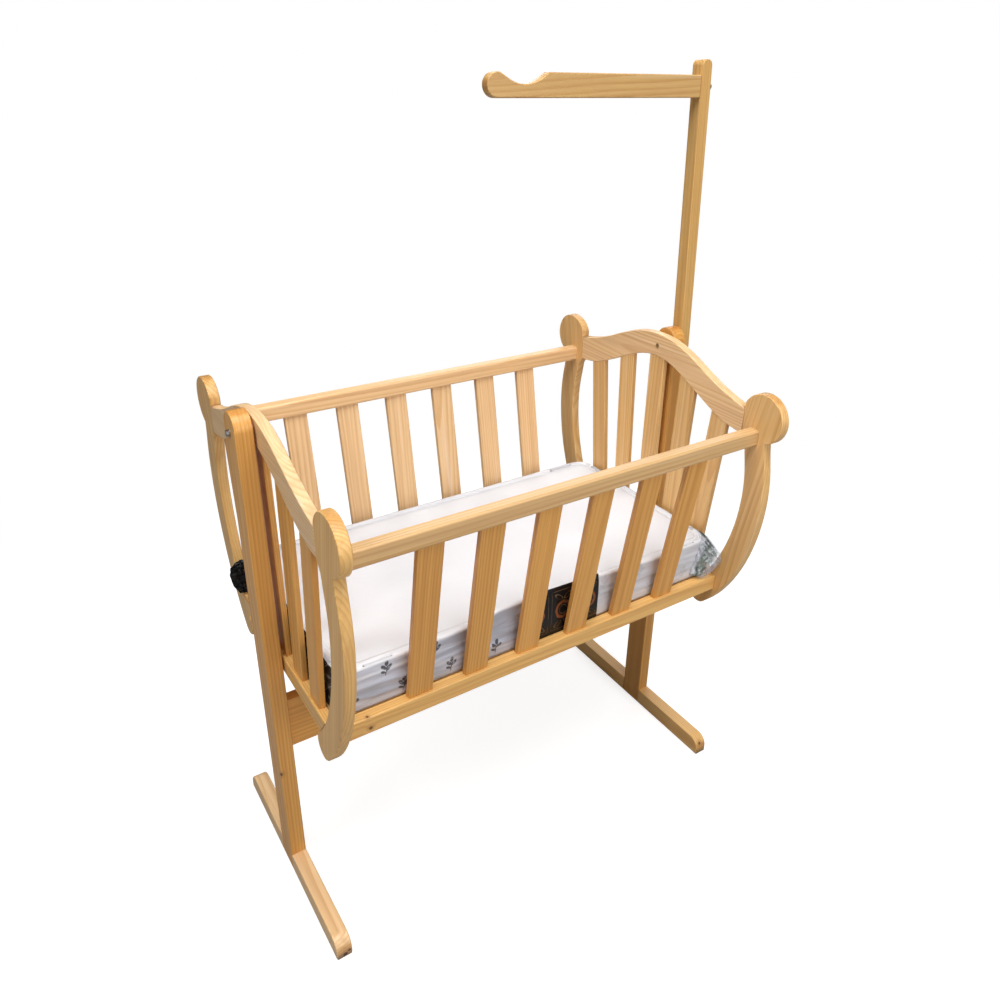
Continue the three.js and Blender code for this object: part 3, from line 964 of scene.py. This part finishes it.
def crowned_block(corner, shrink, cells):
    """A soft block with rounded upright corners, a crowned top and drawn-in edges."""
    half_x, half_y = mattress_half.x - shrink, mattress_half.y - shrink
    height = 2 * mattress_half.z - CROWN - shrink
    shape = bmesh.new()
    bmesh.ops.create_cube(shape, size=2.0)
    for axis, cuts in enumerate(cells):
        edges = [
            edge
            for edge in shape.edges
            if abs((edge.verts[0].co - edge.verts[1].co).normalized()[axis]) > 0.99
        ]
        bmesh.ops.subdivide_edges(shape, edges=edges, cuts=cuts, use_grid_fill=True)
    for vertex in shape.verts:
        u, v, w = vertex.co
        x, y = u * half_x, v * half_y
        over_x = max(0.0, abs(x) - half_x + corner)
        over_y = max(0.0, abs(y) - half_y + corner)
        reach = math.hypot(over_x, over_y)
        if reach > 0:
            back = 1 - max(over_x, over_y) / reach
            x -= math.copysign(back * over_x, u)
            y -= math.copysign(back * over_y, v)
        draw = DRAW * w * w
        x -= u * draw * (1 - v * v)
        y -= v * draw * (1 - u * u)
        z = w * height / 2
        if w > 0:
            z += w * CROWN * (1 - u**4) * (1 - v**4)
        up = mattress_low.z + height / 2 + z
        vertex.co = (mattress_middle.x + x, mattress_middle.y + y, up)
    bmesh.ops.recalc_face_normals(shape, faces=shape.faces)
    return shape


def apply_modifiers(piece):
    """Applies a piece's modifiers in their order."""
    bpy.ops.object.select_all(action="DESELECT")
    piece.select_set(True)
    bpy.context.view_layer.objects.active = piece
    for modifier in list(piece.modifiers):
        bpy.ops.object.modifier_apply(modifier=modifier.name)


VOXEL = 0.006
PUFF_FRAMES = 20


def puff_up(piece, pressure, most):
    """Puffs a closed cover by a cloth simulation. No point moves further than the most."""
    cells = piece.modifiers.new("even cells", "REMESH")
    cells.mode = "VOXEL"
    cells.voxel_size = VOXEL
    cells.use_smooth_shade = True
    apply_modifiers(piece)
    before = [vertex.co.copy() for vertex in piece.data.vertices]
    cloth = piece.modifiers.new("air", "CLOTH").settings
    cloth.use_pressure = True
    cloth.uniform_pressure_force = pressure
    cloth.effector_weights.gravity = 0
    for step in range(1, PUFF_FRAMES + 1):
        bpy.context.scene.frame_set(step)
    apply_modifiers(piece)
    bpy.context.scene.frame_set(1)
    for vertex, start in zip(piece.data.vertices, before):
        way = vertex.co - start
        if way.length > most:
            vertex.co = start + way * (most / way.length)


class CRADLE_OT_make_mattress(Operator):
    """Make the foam mattress in its woven cover, puffed by a cloth simulation"""

    bl_idname = "cradle.make_mattress"
    bl_label = "Mattress"

    def execute(self, context):
        settings = context.scene.cradle_bed
        shape = crowned_block(settings.corner, settings.puff, MATTRESS_CUTS)
        cover = cover_material(settings)
        piece = add_piece("mattress_cover", shape, cover, math.pi, keep_flat=False)
        puff_up(piece, settings.pressure, settings.puff)
        for vertex in piece.data.vertices:
            vertex.co.z = max(vertex.co.z, mattress_low.z)
        rounded = piece.modifiers.new("rounded", "SUBSURF")
        rounded.levels = rounded.render_levels = 1
        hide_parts("mattress")
        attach(piece, CRADLE)
        return {"FINISHED"}


# Film round the mattress. A point of the film is given by its way round the mattress and
# its way up the section, from the foot of the side over the top edge and onto the top.

# Its thickness, the height of its foot, its height over the block's edge, the radius where
# it turns over that edge, how far it lies on the top, and how high above it the ray starts
# that finds the cover
FILM_GAUGE = 0.0003
FILM_FOOT = 0.0008
FILM_OVER = 0.0015
FILM_TURN = 0.005
FILM_ON_TOP = 0.014
RAY_HEIGHT = 0.03

# How far the film stands above the mattress's front edge, by place along it, and the share
# of its height from which it does
LIFT_START = 0.45
EDGE_LIFT = (
    (-0.30, 0.0),
    (-0.20, 0.003),
    (-0.16, 0.005),
    (-0.12, 0.015),
    (-0.01, 0.015),
    (0.09, 0.011),
    (0.15, 0.006),
    (0.24, 0.0),
)

# Long folds round the side: share of the height, wander, half width (m) and strength
FOLDS = (
    (0.55, 0.16, 0.0075, 1.0),
    (0.76, 0.12, 0.0045, 0.6),
    (0.30, 0.14, 0.0065, 0.8),
    (0.12, 0.08, 0.0040, 0.5),
)


def edge_lift(spot, out):
    """How far the film stands above the edge at a spot round the mattress."""
    if out.y >= -0.9:
        return 0.0
    places, heights = zip(*EDGE_LIFT)
    return float(np.interp(spot.x, places, heights, left=0.0, right=0.0))


def film_lengths():
    """Height of the film's upright part and the length of its whole section."""
    upright = 2 * mattress_half.z - CROWN - FILM_FOOT - FILM_TURN + FILM_OVER
    return upright, upright + math.pi / 2 * FILM_TURN + FILM_ON_TOP


def film_folds(way, up, upright):
    """How far the film's folds stand out at a point, as a share of the fold height."""
    share = up / upright
    total = 0.0
    for i, (level, wander, width, strength) in enumerate(FOLDS):
        drift = level + wander * noise.noise((way * 4.3, i * 9.1, 0.0))
        drift += 0.35 * wander * noise.noise((way * 19.0, i * 5.7, 3.0))
        away = abs(share - drift) * upright / width
        live = max(0.0, 0.55 + 1.1 * noise.noise((way * 7.0, i * 3.3, 8.0)))
        total += strength * live * max(0.0, 1 - away) ** 1.6
    slant = noise.noise((way * 26 + up * 30, up * 60, 4.0))
    total += 0.35 * max(0.0, slant)
    ends = min(1.0, share / 0.06, (1.25 - share) / 0.2)
    return total * max(0.0, ends)


def off_cards(way, corner):
    """1 where no card stands in front of the film, and little where one does."""
    back, front = END_CARD_REACH
    whole = rim_length(corner)
    runs = (front_ways(corner, FRONT_CARD), (-back, front), (whole - back, whole + front))
    away = min(max(start - way, way - end, 0.0) for start, end in runs)
    return 0.2 + 0.8 * min(1.0, away / 0.02)


def film_point(way, up, settings, cover):
    """Place of a film point, with its folds. The film's top lies on the cover."""
    upright, _ = film_lengths()
    spot, out = rim_point(way, settings.corner)
    arc = math.pi / 2 * FILM_TURN
    over = min(max(0.0, up - upright), arc)
    inward = max(0.0, up - upright - arc)
    fade = max(0.0, 1 - inward / FILM_ON_TOP)
    rise = min(1.0, max(0.0, up / upright - LIFT_START) / (1 - LIFT_START))
    lifted = edge_lift(spot, out) * min(rise, fade**0.7)
    bulge = settings.fold_height * film_folds(way, up, upright) * off_cards(way, settings.corner)
    normal = direction(over / FILM_TURN)
    raised = normal.y * bulge * fade + lifted
    plan = spot + out * (FILM_TURN * (normal.x - 1) - inward + normal.x * bulge * fade)
    height = FILM_FOOT + min(up, upright) + FILM_TURN * normal.y + raised
    point = Vector((plan.x, plan.y, mattress_low.z + height))
    if over > 0:
        below = cover.ray_cast(point + Vector((0, 0, RAY_HEIGHT)), Vector((0, 0, -1)))[0]
        if below is not None:
            point.z += over / arc * (below.z + FILM_STAND_OFF + raised - point.z)
    return point


def surface_strip(columns, rows, place, closed):
    """A grid of quads whose points a function of column and row gives, with their place on
    the flat sheet as the flat attribute."""
    shape = bmesh.new()
    flat = shape.verts.layers.float_vector.new("flat")
    grid = []
    for i in range(columns):
        grid.append([])
        for j in range(rows):
            point, across, up = place(i, j)
            grid[i].append(shape.verts.new(point))
            grid[i][j][flat] = (across, up, 0.0)
    for i in range(columns if closed else columns - 1):
        following = grid[(i + 1) % columns]
        for j in range(rows - 1):
            shape.faces.new((grid[i][j], following[j], following[j + 1], grid[i][j + 1]))
    bmesh.ops.recalc_face_normals(shape, faces=shape.faces)
    return shape


def thin_piece(name, shape, material, gauge):
    """A thin sheet or card with both of its faces, shaded smooth."""
    piece = add_piece(name, shape, material, SHEET_SMOOTH, keep_flat=False)
    solid = piece.modifiers.new("gauge", "SOLIDIFY")
    solid.thickness, solid.offset = gauge, 0.0
    apply_modifiers(piece)
    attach(piece, CRADLE)
    return piece


# A printed sprig: each leaf's middle, turn and half sizes, in metres
SPRIG = (
    ((0.0, -0.004), 78, (0.0105, 0.0010)),
    ((-0.0046, 0.0030), 130, (0.0062, 0.0033)),
    ((0.0052, 0.0012), 44, (0.0064, 0.0034)),
    ((0.0012, 0.0098), 80, (0.0052, 0.0034)),
    ((-0.0058, -0.0060), 155, (0.0050, 0.0026)),
)
SPRIG_PITCH = 0.092
SPRIG_ROW = 0.044
SPRIG_SHIFT = 0.030

# Part of the front, along x, where the film lies double and hides its print, and where it is
# painted lighter as painted light
DOUBLE_LAYER = (0.095, 0.40)
# Grey of the painted shade in the film's fine creases
CREASE_SHADE_GREY = (0.36, 0.37, 0.42)


def leaf(shades, place, middle, turn, halves):
    """Distance from an ellipse's middle, which is 1 on its edge."""
    local = shades.add(
        "ShaderNodeMapping",
        {
            "Vector": place,
            "Location": (*middle, 0.0),
            "Rotation": (0.0, 0.0, math.radians(turn)),
            "Scale": (*halves, 1.0),
        },
        vector_type="TEXTURE",
    ).outputs[0]
    return shades.vector("LENGTH", local)


def from_middle(shades, value, pitch):
    """How far a value is from the middle of its cell, in cells of one pitch."""
    share = shades.math("FRACT", shades.math("DIVIDE", value, pitch))
    return shades.times(shades.math("SUBTRACT", share, 0.5), pitch)


def film_material(settings):
    """Film over the white cover: greyish and glossy with fine creases, with painted shade and
    painted highlights along its folds, painted shade in its creases and at its foot, painted
    light where it lies double, and small printed sprigs in two rows."""
    shades = Shades.material("printed_film")
    flat = shades.attribute("flat")
    way, up, _ = shades.parts(flat)

    bands = shades.noise(flat, (5, 48, 1), detail=3, roughness=0.6)
    creases = shades.noise(flat, (45, 320, 1), detail=3, roughness=0.65)
    upper, _ = film_lengths()
    topside = shades.ramp(up, upper - 0.002, upper + 0.004)
    # Painted shade and painted highlights: the film is darker along some long bands and lighter
    # along others, standing in for the shade and gloss of its folds
    painted_film_shade = Vector(settings.film) * 0.62
    grey = shades.mix(shades.ramp(bands, 0.40, 0.60), painted_film_shade, settings.film)
    painted_film_light = Vector(settings.cover) * 0.97
    grey = shades.mix(shades.ramp(bands, 0.56, 0.70), grey, painted_film_light)
    # Painted shade: the film is darker towards its foot
    grey = shades.mix(shades.ramp(up, 0.0, 0.075, 0.30, 0.0), grey, painted_film_shade)
    # Painted shade: the film is greyer in its fine creases
    grey = shades.mix(shades.ramp(creases, 0.60, 0.72, 0.0, 0.35), grey, CREASE_SHADE_GREY)
    start, end = front_ways(settings.corner, DOUBLE_LAYER)
    doubled_and_painted_light = shades.times(
        shades.ramp(way, start - 0.004, start + 0.004),
        shades.ramp(way, end - 0.03, end + 0.03, 1.0, 0.0),
    )
    # Painted light: the film is lighter where it lies double
    grey = shades.mix(shades.times(doubled_and_painted_light, 0.55), grey, painted_film_light)
    colour = shades.mix(topside, grey, settings.cover)

    row = shades.math("FLOOR", shades.math("DIVIDE", up, SPRIG_ROW))
    along = shades.math("MULTIPLY_ADD", row, SPRIG_SHIFT, way)
    local = shades.joined(
        from_middle(shades, along, SPRIG_PITCH), from_middle(shades, up, SPRIG_ROW)
    )
    nearest = shades.least(*(leaf(shades, local, *one) for one in SPRIG))
    printed = shades.ramp(nearest, 0.85, 1.25, 0.92, 0.0)
    worn = shades.noise(flat, (130, 130, 1), detail=2)
    printed = shades.times(printed, shades.ramp(worn, 0.30, 0.50, 0.45, 1.0))
    hidden = shades.most(topside, shades.times(doubled_and_painted_light, 0.85))
    printed = shades.times(printed, shades.math("SUBTRACT", 1.0, hidden))
    colour = shades.mix(printed, colour, settings.print_ink)
    relief = shades.math("MULTIPLY_ADD", bands, 0.6, creases)
    return shades.surface(
        Base_Color=colour,
        Roughness=shades.ramp(creases, 0.3, 0.7, 0.28, 0.50, smooth=False),
        Coat_Weight=0.35,
        Coat_Roughness=0.12,
        Normal=shades.bump(relief, 0.35, 0.0010),
    )


# Green of the middle folds, darkened there as painted shade, and the painted shade in their
# creases
GREEN_FOLD = (0.24, 0.29, 0.26)
GATHER_CREASE_SHADE = (0.05, 0.065, 0.06)


def gather_material(settings):
    """Crumpled clear film: milky where it leaves the mattress, dark green in its middle folds,
    partly its own green and partly painted shade, darker still in their creases as painted
    shade, and nearly clear at its edge."""
    shades = Shades.material("crumpled_film")
    place = shades.place()
    out = shades.parts(shades.attribute("flat"))[1]
    crumple = shades.noise(place, (80, 80, 80), detail=3, roughness=0.55)
    crease = shades.noise(place, (50, 120, 120), detail=3, roughness=0.55)
    folded = shades.times(
        shades.ramp(out, 0.008, 0.022), shades.ramp(out, 0.034, 0.052, 1.0, 0.0)
    )
    milky = Vector(settings.film) * 0.95
    deep = shades.math("MULTIPLY_ADD", folded, 0.16, crumple)
    colour = shades.mix(shades.ramp(deep, 0.46, 0.68), milky, GREEN_FOLD)
    # Painted shade: the creases of the middle folds are nearly black, and opaque
    painted_crease_shade = shades.times(shades.times(shades.ramp(crease, 0.52, 0.62), folded), 0.8)
    colour = shades.mix(painted_crease_shade, colour, GATHER_CREASE_SHADE)
    clear = shades.ramp(out, 0.030, 0.058, 0.88, 0.30)
    cover = shades.times(clear, shades.ramp(crumple, 0.35, 0.62, 0.72, 1.0))
    return shades.surface(
        Base_Color=colour,
        Roughness=shades.ramp(crumple, 0.3, 0.7, 0.22, 0.40, smooth=False),
        Alpha=shades.most(cover, painted_crease_shade),
        Coat_Weight=0.25,
        Coat_Roughness=0.12,
        Normal=shades.bump(crumple, 0.4, 0.0016),
    )


FILM_COLUMNS = 560
FILM_ROWS = 31
GATHER_CELLS = (64, 34)

# Film gathered in the gap beside a leg: the line where it leaves the mattress, the line of
# its edge, the way that its pleats push, and how far out along x it may reach
CLEAR_GATHER = (
    ((0.352, -0.2210, 0.5300), (0.368, -0.2215, 0.5750), (0.376, -0.2185, 0.6035),
     (0.392, -0.2040, 0.6060), (0.4005, -0.1800, 0.6055)),
    ((0.370, -0.2400, 0.5260), (0.389, -0.2490, 0.5380), (0.4000, -0.2600, 0.5660),
     (0.4010, -0.2560, 0.5830), (0.4015, -0.2140, 0.6030)),
    (-0.62, -0.60, 0.50),
    0.4030,
)
BLACK_GATHER = (
    ((-0.4300, 0.1960, 0.5260), (-0.4305, 0.1965, 0.5450), (-0.4305, 0.1970, 0.5700),
     (-0.4300, 0.1970, 0.5880), (-0.4270, 0.1960, 0.6000)),
    ((-0.4580, 0.2060, 0.5250), (-0.4690, 0.2080, 0.5440), (-0.4735, 0.2090, 0.5700),
     (-0.4700, 0.2090, 0.5880), (-0.4560, 0.2070, 0.6000)),
    (-0.25, 0.90, 0.20),
    0.4745,
)
CLEAR_GATHER_FLAT = (0.110, 0.060)
BLACK_GATHER_FLAT = (0.110, 0.045)


def along_line(points, share):
    """Point on a bent line through the points, a share of the way along."""
    places = np.linspace(0, 1, len(points))
    return Vector([float(np.interp(share, places, axis)) for axis in zip(*points)])


def gather_point(a, b, inner, outer, way, reach):
    """A point of the gathered film: pleats fan from its outer tip to the mattress."""
    point = along_line(inner, a).lerp(along_line(outer, a), b)
    swell = math.sin(math.pi * b) ** 0.8
    pleat = math.sin(2 * math.pi * (5.5 * a + 1.3 * b) + 2.4 * noise.noise((a * 5, b * 4, 1.0)))
    crumple = noise.noise((a * 11, b * 9, 5.0))
    fine = noise.noise((a * 26, b * 21, 9.0))
    push = (0.0030 * pleat + 0.0042 * crumple + 0.0016 * fine) * (0.25 + 0.75 * swell)
    point += Vector(way) * (push + 0.002 * swell)
    point.x = max(-reach, min(point.x, reach))
    return point


def make_gather(name, lines, flat, material):
    columns, rows = GATHER_CELLS

    def place(i, j):
        a, b = i / (columns - 1), j / (rows - 1)
        return gather_point(a, b, *lines), a * flat[0], b * flat[1]

    shape = surface_strip(columns, rows, place, closed=False)
    piece = thin_piece(name, shape, material, FILM_GAUGE)


class CRADLE_OT_wrap_film(Operator):
    """Wrap the mattress's sides in printed film, gathered beside the right front leg"""

    bl_idname = "cradle.wrap_film"
    bl_label = "Film"

    def execute(self, context):
        settings = context.scene.cradle_bed
        round_way = rim_length(settings.corner)
        _, section = film_lengths()
        mattress = bpy.data.objects["mattress_cover"]
        cover = BVHTree.FromObject(mattress, context.evaluated_depsgraph_get())

        def film_place(i, j):
            way = round_way * i / FILM_COLUMNS
            up = section * j / (FILM_ROWS - 1)
            return film_point(way, up, settings, cover), way, up

        shape = surface_strip(FILM_COLUMNS, FILM_ROWS, film_place, closed=True)
        piece = thin_piece("mattress_film", shape, film_material(settings), FILM_GAUGE)
        crumpled = gather_material(settings)
        make_gather("clear_gather", CLEAR_GATHER, CLEAR_GATHER_FLAT, crumpled)
        return {"FINISHED"}


# Cards before the film: thickness, distance from it, and height
CARD_GAUGE = 0.0006
CARD_STAND_OFF = 0.0022
CARD_HEIGHT = 0.0885

# The front card's two edges along x, and how far the end card reaches round the mattress
# from the middle of its left end, to the back and to the front
FRONT_CARD = (-0.034, 0.103)
END_CARD_REACH = (0.200, 0.214)

# The ornament's panels and lattice cells, and the card's colours with the painted shine of its
# creases
PANEL = 0.060
PANEL_START = 0.023
PANEL_MIDDLE = 0.044
LATTICE = 0.046
PALE_INK = (0.40, 0.385, 0.36)
WARM_GLOW = (0.34, 0.095, 0.028)
PAINTED_CREASE_SHINE = (0.09, 0.095, 0.11)


def card_material(settings, name, ornament, ink):
    """Glossy black card with worn thin lines of ornament, a warm glow and a painted shine on its
    creases.
    """
    shades = Shades.material(name)
    flat = shades.attribute("flat")
    lines, glow = ornament(shades, flat)
    wear = shades.noise(flat, (60, 60, 1), detail=3)
    colour = shades.mix(glow, settings.label, WARM_GLOW)
    faded = shades.times(lines, shades.ramp(wear, 0.38, 0.62, 0.10, 0.70))
    colour = shades.mix(faded, colour, ink)
    creases = shades.noise(flat, (25, 190, 1), detail=3, roughness=0.65)
    # Painted highlight: the card is lighter along its creases
    colour = shades.mix(shades.ramp(creases, 0.64, 0.74, 0.0, 0.2), colour, PAINTED_CREASE_SHINE)
    return shades.surface(
        Base_Color=colour,
        Roughness=shades.ramp(wear, 0.3, 0.7, 0.26, 0.42, smooth=False),
        Specular_IOR_Level=0.2,
        Coat_Weight=0.2,
        Coat_Roughness=0.10,
        Normal=shades.bump(creases, 0.3, 0.0008),
    )


def band(shades, value, centre, half):
    """1 within a half width of a value, 0 beyond it."""
    away = shades.math("ABSOLUTE", shades.math("SUBTRACT", value, centre))
    return shades.ramp(away, half * 0.7, half * 1.3, 1.0, 0.0)


def flower_ornament(shades, flat):
    """Panels, each with a rosette of eight petals between leaves in a thin frame."""
    across, up, _ = shades.parts(flat)
    x = from_middle(shades, shades.math("ADD", across, PANEL - PANEL_START), PANEL)
    y = shades.math("SUBTRACT", up, PANEL_MIDDLE)
    local = shades.joined(x, y)
    radius = shades.vector("LENGTH", local)
    turn = shades.times(shades.math("ARCTAN2", y, x), 8.0)
    petals = shades.math("MULTIPLY_ADD", shades.math("COSINE", turn), 0.0028, 0.0150)
    rosette = band(shades, shades.math("SUBTRACT", radius, petals), 0.0, 0.0009)
    ring = band(shades, radius, 0.0085, 0.0008)
    leaves = [
        leaf(shades, local, (side * leaf_x, leaf_y), side * lean, (0.009, 0.0035))
        for side in (-1, 1)
        for leaf_x, leaf_y, lean in ((0.0100, 0.026, 30), (0.0110, -0.027, -35))
    ]
    outline = band(shades, shades.least(*leaves), 1.0, 0.16)
    box_x = shades.math("DIVIDE", shades.math("ABSOLUTE", x), 0.026)
    box_y = shades.math("DIVIDE", shades.math("ABSOLUTE", y), 0.037)
    box = band(shades, shades.most(box_x, box_y), 1.0, 0.012)
    glow = shades.times(band(shades, radius, 0.0150, 0.0026), 0.65)
    return shades.most(rosette, ring, outline, box), glow


def lattice_ornament(shades, flat):
    """A lattice of double diagonals with one slanting leaf in each diamond."""
    across, up, _ = shades.parts(flat)
    diagonals = [
        shades.math("FRACT", shades.math("DIVIDE", shades.math(operation, across, up), LATTICE))
        for operation in ("ADD", "SUBTRACT")
    ]
    lines = shades.most(*(band(shades, share, 0.5, 0.028) for share in diagonals))
    thin = shades.most(*(band(shades, share, 0.38, 0.012) for share in diagonals))
    cell = shades.joined(
        *(from_middle(shades, shades.math("ADD", share, 0.5), 1.0) for share in diagonals)
    )
    leaves = shades.ramp(leaf(shades, cell, (0, 0), 38, (0.27, 0.10)), 0.8, 1.1, 0.7, 0.0)
    return shades.most(lines, shades.times(thin, 0.6), leaves), 0.0


def no_ornament(shades, flat):
    return 0.0, 0.0


def make_card(name, start, end, material, corner):
    """A card that stands against the film from one way round the mattress to another."""
    columns, rows = int((end - start) / 0.003) + 2, 26

    def place(i, j):
        way = start + (end - start) * i / (columns - 1)
        share = j / (rows - 1)
        spot, out = rim_point(way, corner)
        height = FILM_FOOT + share * (CARD_HEIGHT + 0.9 * edge_lift(spot, out))
        bow = 0.0012 * math.sin(math.pi * share) * (1 + noise.noise((way * 20, share * 3, 2.0)))
        lean = 0.0030 * max(0.0, share - 0.82) / 0.18
        plan = spot + out * (CARD_STAND_OFF + bow - lean)
        point = (plan.x, plan.y, mattress_low.z + height)
        return point, way - start, share * CARD_HEIGHT

    shape = surface_strip(columns, rows, place, closed=False)
    return thin_piece(name, shape, material, CARD_GAUGE)


class CRADLE_OT_make_cards(Operator):
    """Make the black cards at the mattress's front and left end, and the black film"""

    bl_idname = "cradle.make_cards"
    bl_label = "Cards"

    def execute(self, context):
        settings = context.scene.cradle_bed
        front_print = card_material(
            settings, "front_card_print", flower_ornament, settings.card_lines
        )
        end_print = card_material(settings, "end_card_print", lattice_ornament, PALE_INK)
        black_film = card_material(settings, "black_film", no_ornament, PALE_INK)
        left, right = front_ways(settings.corner, FRONT_CARD)
        make_card("front_card", left, right, front_print, settings.corner)
        back, front = END_CARD_REACH
        make_card("end_card", -back, front, end_print, settings.corner)
        make_gather("black_gather", BLACK_GATHER, BLACK_GATHER_FLAT, black_film)
        return {"FINISHED"}


# Stage

# Where the photograph was taken from, and that camera's turns and lens
CAMERA_PLACE = (-0.78285, -1.2544, 1.5090)
CAMERA_TURN = math.radians(-34.90)
CAMERA_HEIGHT_ANGLE = math.radians(25.66)
CAMERA_ROLL = math.radians(1.80)
CAMERA_LENS = 30.287
CAMERA_SHIFT = (-0.0316, -0.0420)
SENSOR = 36.0
CLIP = (0.01, 60.0)


def add_camera():
    """The camera at the photograph's viewing angle."""
    turns = ((CAMERA_TURN, "Z"), (math.pi / 2 - CAMERA_HEIGHT_ANGLE, "X"), (CAMERA_ROLL, "Z"))
    place = Matrix.Translation(CAMERA_PLACE)
    for turn, axis in turns:
        place = place @ Matrix.Rotation(turn, 4, axis)
    data = bpy.data.cameras.new("photo_camera")
    data.lens = CAMERA_LENS
    data.sensor_width = SENSOR
    data.shift_x, data.shift_y = CAMERA_SHIFT
    data.clip_start, data.clip_end = CLIP
    camera = bpy.data.objects.new("photo_camera", data)
    camera.matrix_world = place
    bpy.context.scene.collection.objects.link(camera)
    bpy.context.scene.camera = camera


def add_softbox(name, place, aim, size, power):
    data = bpy.data.lights.new(name, "AREA")
    data.shape = "RECTANGLE"
    data.size, data.size_y = size
    data.energy = power
    lamp = bpy.data.objects.new(name, data)
    lamp.location = place
    look = Vector(aim) - Vector(place)
    lamp.rotation_euler = look.to_track_quat("-Z", "Y").to_euler()
    bpy.context.scene.collection.objects.link(lamp)


# What the camera sees of the floor: a grey that takes the shadow, a glow that lifts it to
# near white, and plain white beyond a distance from the middle
SHADOW_GREY = (0.5, 0.5, 0.5, 1.0)
FLOOR_GLOW = 0.74
WHITE_FROM = (0.7, 2.0)
FLOOR_REACH = 9.0


def floor_material(colour):
    """Pale floor that stays white for the camera and keeps the object's shadow."""
    shades = Shades.material("pale_floor")
    place = shades.place()
    mottle = shades.ramp(shades.noise(place, (3, 3, 3), detail=3), 0.3, 0.7)
    tint = shades.mix(mottle, colour, Vector(colour) * 0.985)
    plain = shades.add("ShaderNodeBsdfDiffuse", {"Color": tint})
    grey = shades.add("ShaderNodeBsdfDiffuse", {"Color": SHADOW_GREY})
    glow = shades.add("ShaderNodeEmission", {"Color": WHITE, "Strength": FLOOR_GLOW})
    near = shades.add("ShaderNodeAddShader", {0: grey.outputs[0], 1: glow.outputs[0]})
    white = shades.add("ShaderNodeEmission", {"Color": WHITE, "Strength": 1.0})
    far = shades.ramp(shades.vector("LENGTH", place), *WHITE_FROM)
    seen = shades.choose(far, near, white)
    return shades.end(shades.choose(shades.seen(), plain, seen))


def add_floor(colour):
    shape = bmesh.new()
    bmesh.ops.create_grid(shape, x_segments=1, y_segments=1, size=FLOOR_REACH)
    add_piece("floor", shape, floor_material(colour), math.pi, keep_flat=False)


def light_world(ambient):
    """Even light from all round, which the camera sees as plain white."""
    shades = Shades(bpy.data.worlds.new("studio"))
    even = shades.add("ShaderNodeBackground", {"Color": WHITE, "Strength": ambient})
    white = shades.add("ShaderNodeBackground", {"Color": WHITE, "Strength": 1.0})
    bpy.context.scene.world = shades.end(shades.choose(shades.seen(), even, white), "World")


# Place, aim, size and name of each soft lamp; the stage's settings hold its power by name
LAMPS = (
    ((-0.35, -1.00, 4.2), (0, 0, 0.7), (2.6, 2.6), "key"),
    ((0.2, -2.6, 1.5), (0, 0, 0.7), (2.6, 1.2), "fill"),
    ((-2.9, -0.5, 3.4), (0, 0, 0.7), (1.6, 1.6), "left"),
    ((1.4, 1.6, 2.0), (0, 0, 0.8), (1.8, 1.2), "rim"),
)


class CRADLE_OT_set_stage(Operator):
    """Set the camera, the pale floor, the even light and the four soft lamps"""

    bl_idname = "cradle.set_stage"
    bl_label = "Stage"

    def execute(self, context):
        settings = context.scene.cradle_stage
        add_camera()
        add_floor(tuple(settings.floor))
        light_world(settings.ambient)
        for place, aim, size, name in LAMPS:
            add_softbox(name, place, aim, size, getattr(settings, name))
        context.scene.view_settings.view_transform = "Standard"
        return {"FINISHED"}


OPERATORS = (
    CRADLE_OT_dress_stand,
    CRADLE_OT_dress_net_pole,
    CRADLE_OT_dress_end_frames,
    CRADLE_OT_dress_sides,
    CRADLE_OT_dress_bed,
    CRADLE_OT_make_fastenings,
    CRADLE_OT_make_mattress,
    CRADLE_OT_wrap_film,
    CRADLE_OT_make_cards,
    CRADLE_OT_set_stage,
)

SETTINGS = {
    "cradle_pine": PineSettings,
    "cradle_bed": BedSettings,
    "cradle_steel": SteelSettings,
    "cradle_stage": StageSettings,
}


class CRADLE_PT_pieces(Panel):
    """The cradle's pieces and stage, with their settings"""

    bl_idname = "CRADLE_PT_pieces"
    bl_label = "Swinging cradle"
    bl_space_type = "VIEW_3D"
    bl_region_type = "UI"
    bl_category = "Cradle"

    def draw(self, context):
        for operator in OPERATORS:
            self.layout.operator(operator.bl_idname)
        for name, group in SETTINGS.items():
            box = self.layout.box()
            for setting in group.__annotations__:
                box.prop(getattr(context.scene, name), setting)


def register():
    for group in (*SETTINGS.values(), *OPERATORS, CRADLE_PT_pieces):
        bpy.utils.register_class(group)
    for name, group in SETTINGS.items():
        setattr(bpy.types.Scene, name, PointerProperty(type=group))


def unregister():
    for name in SETTINGS:
        delattr(bpy.types.Scene, name)
    for group in reversed((*SETTINGS.values(), *OPERATORS, CRADLE_PT_pieces)):
        bpy.utils.unregister_class(group)


def main():
    register()
    for operator in OPERATORS:
        group, name = operator.bl_idname.split(".")
        getattr(getattr(bpy.ops, group), name)()


if __name__ == "__main__":
    main()
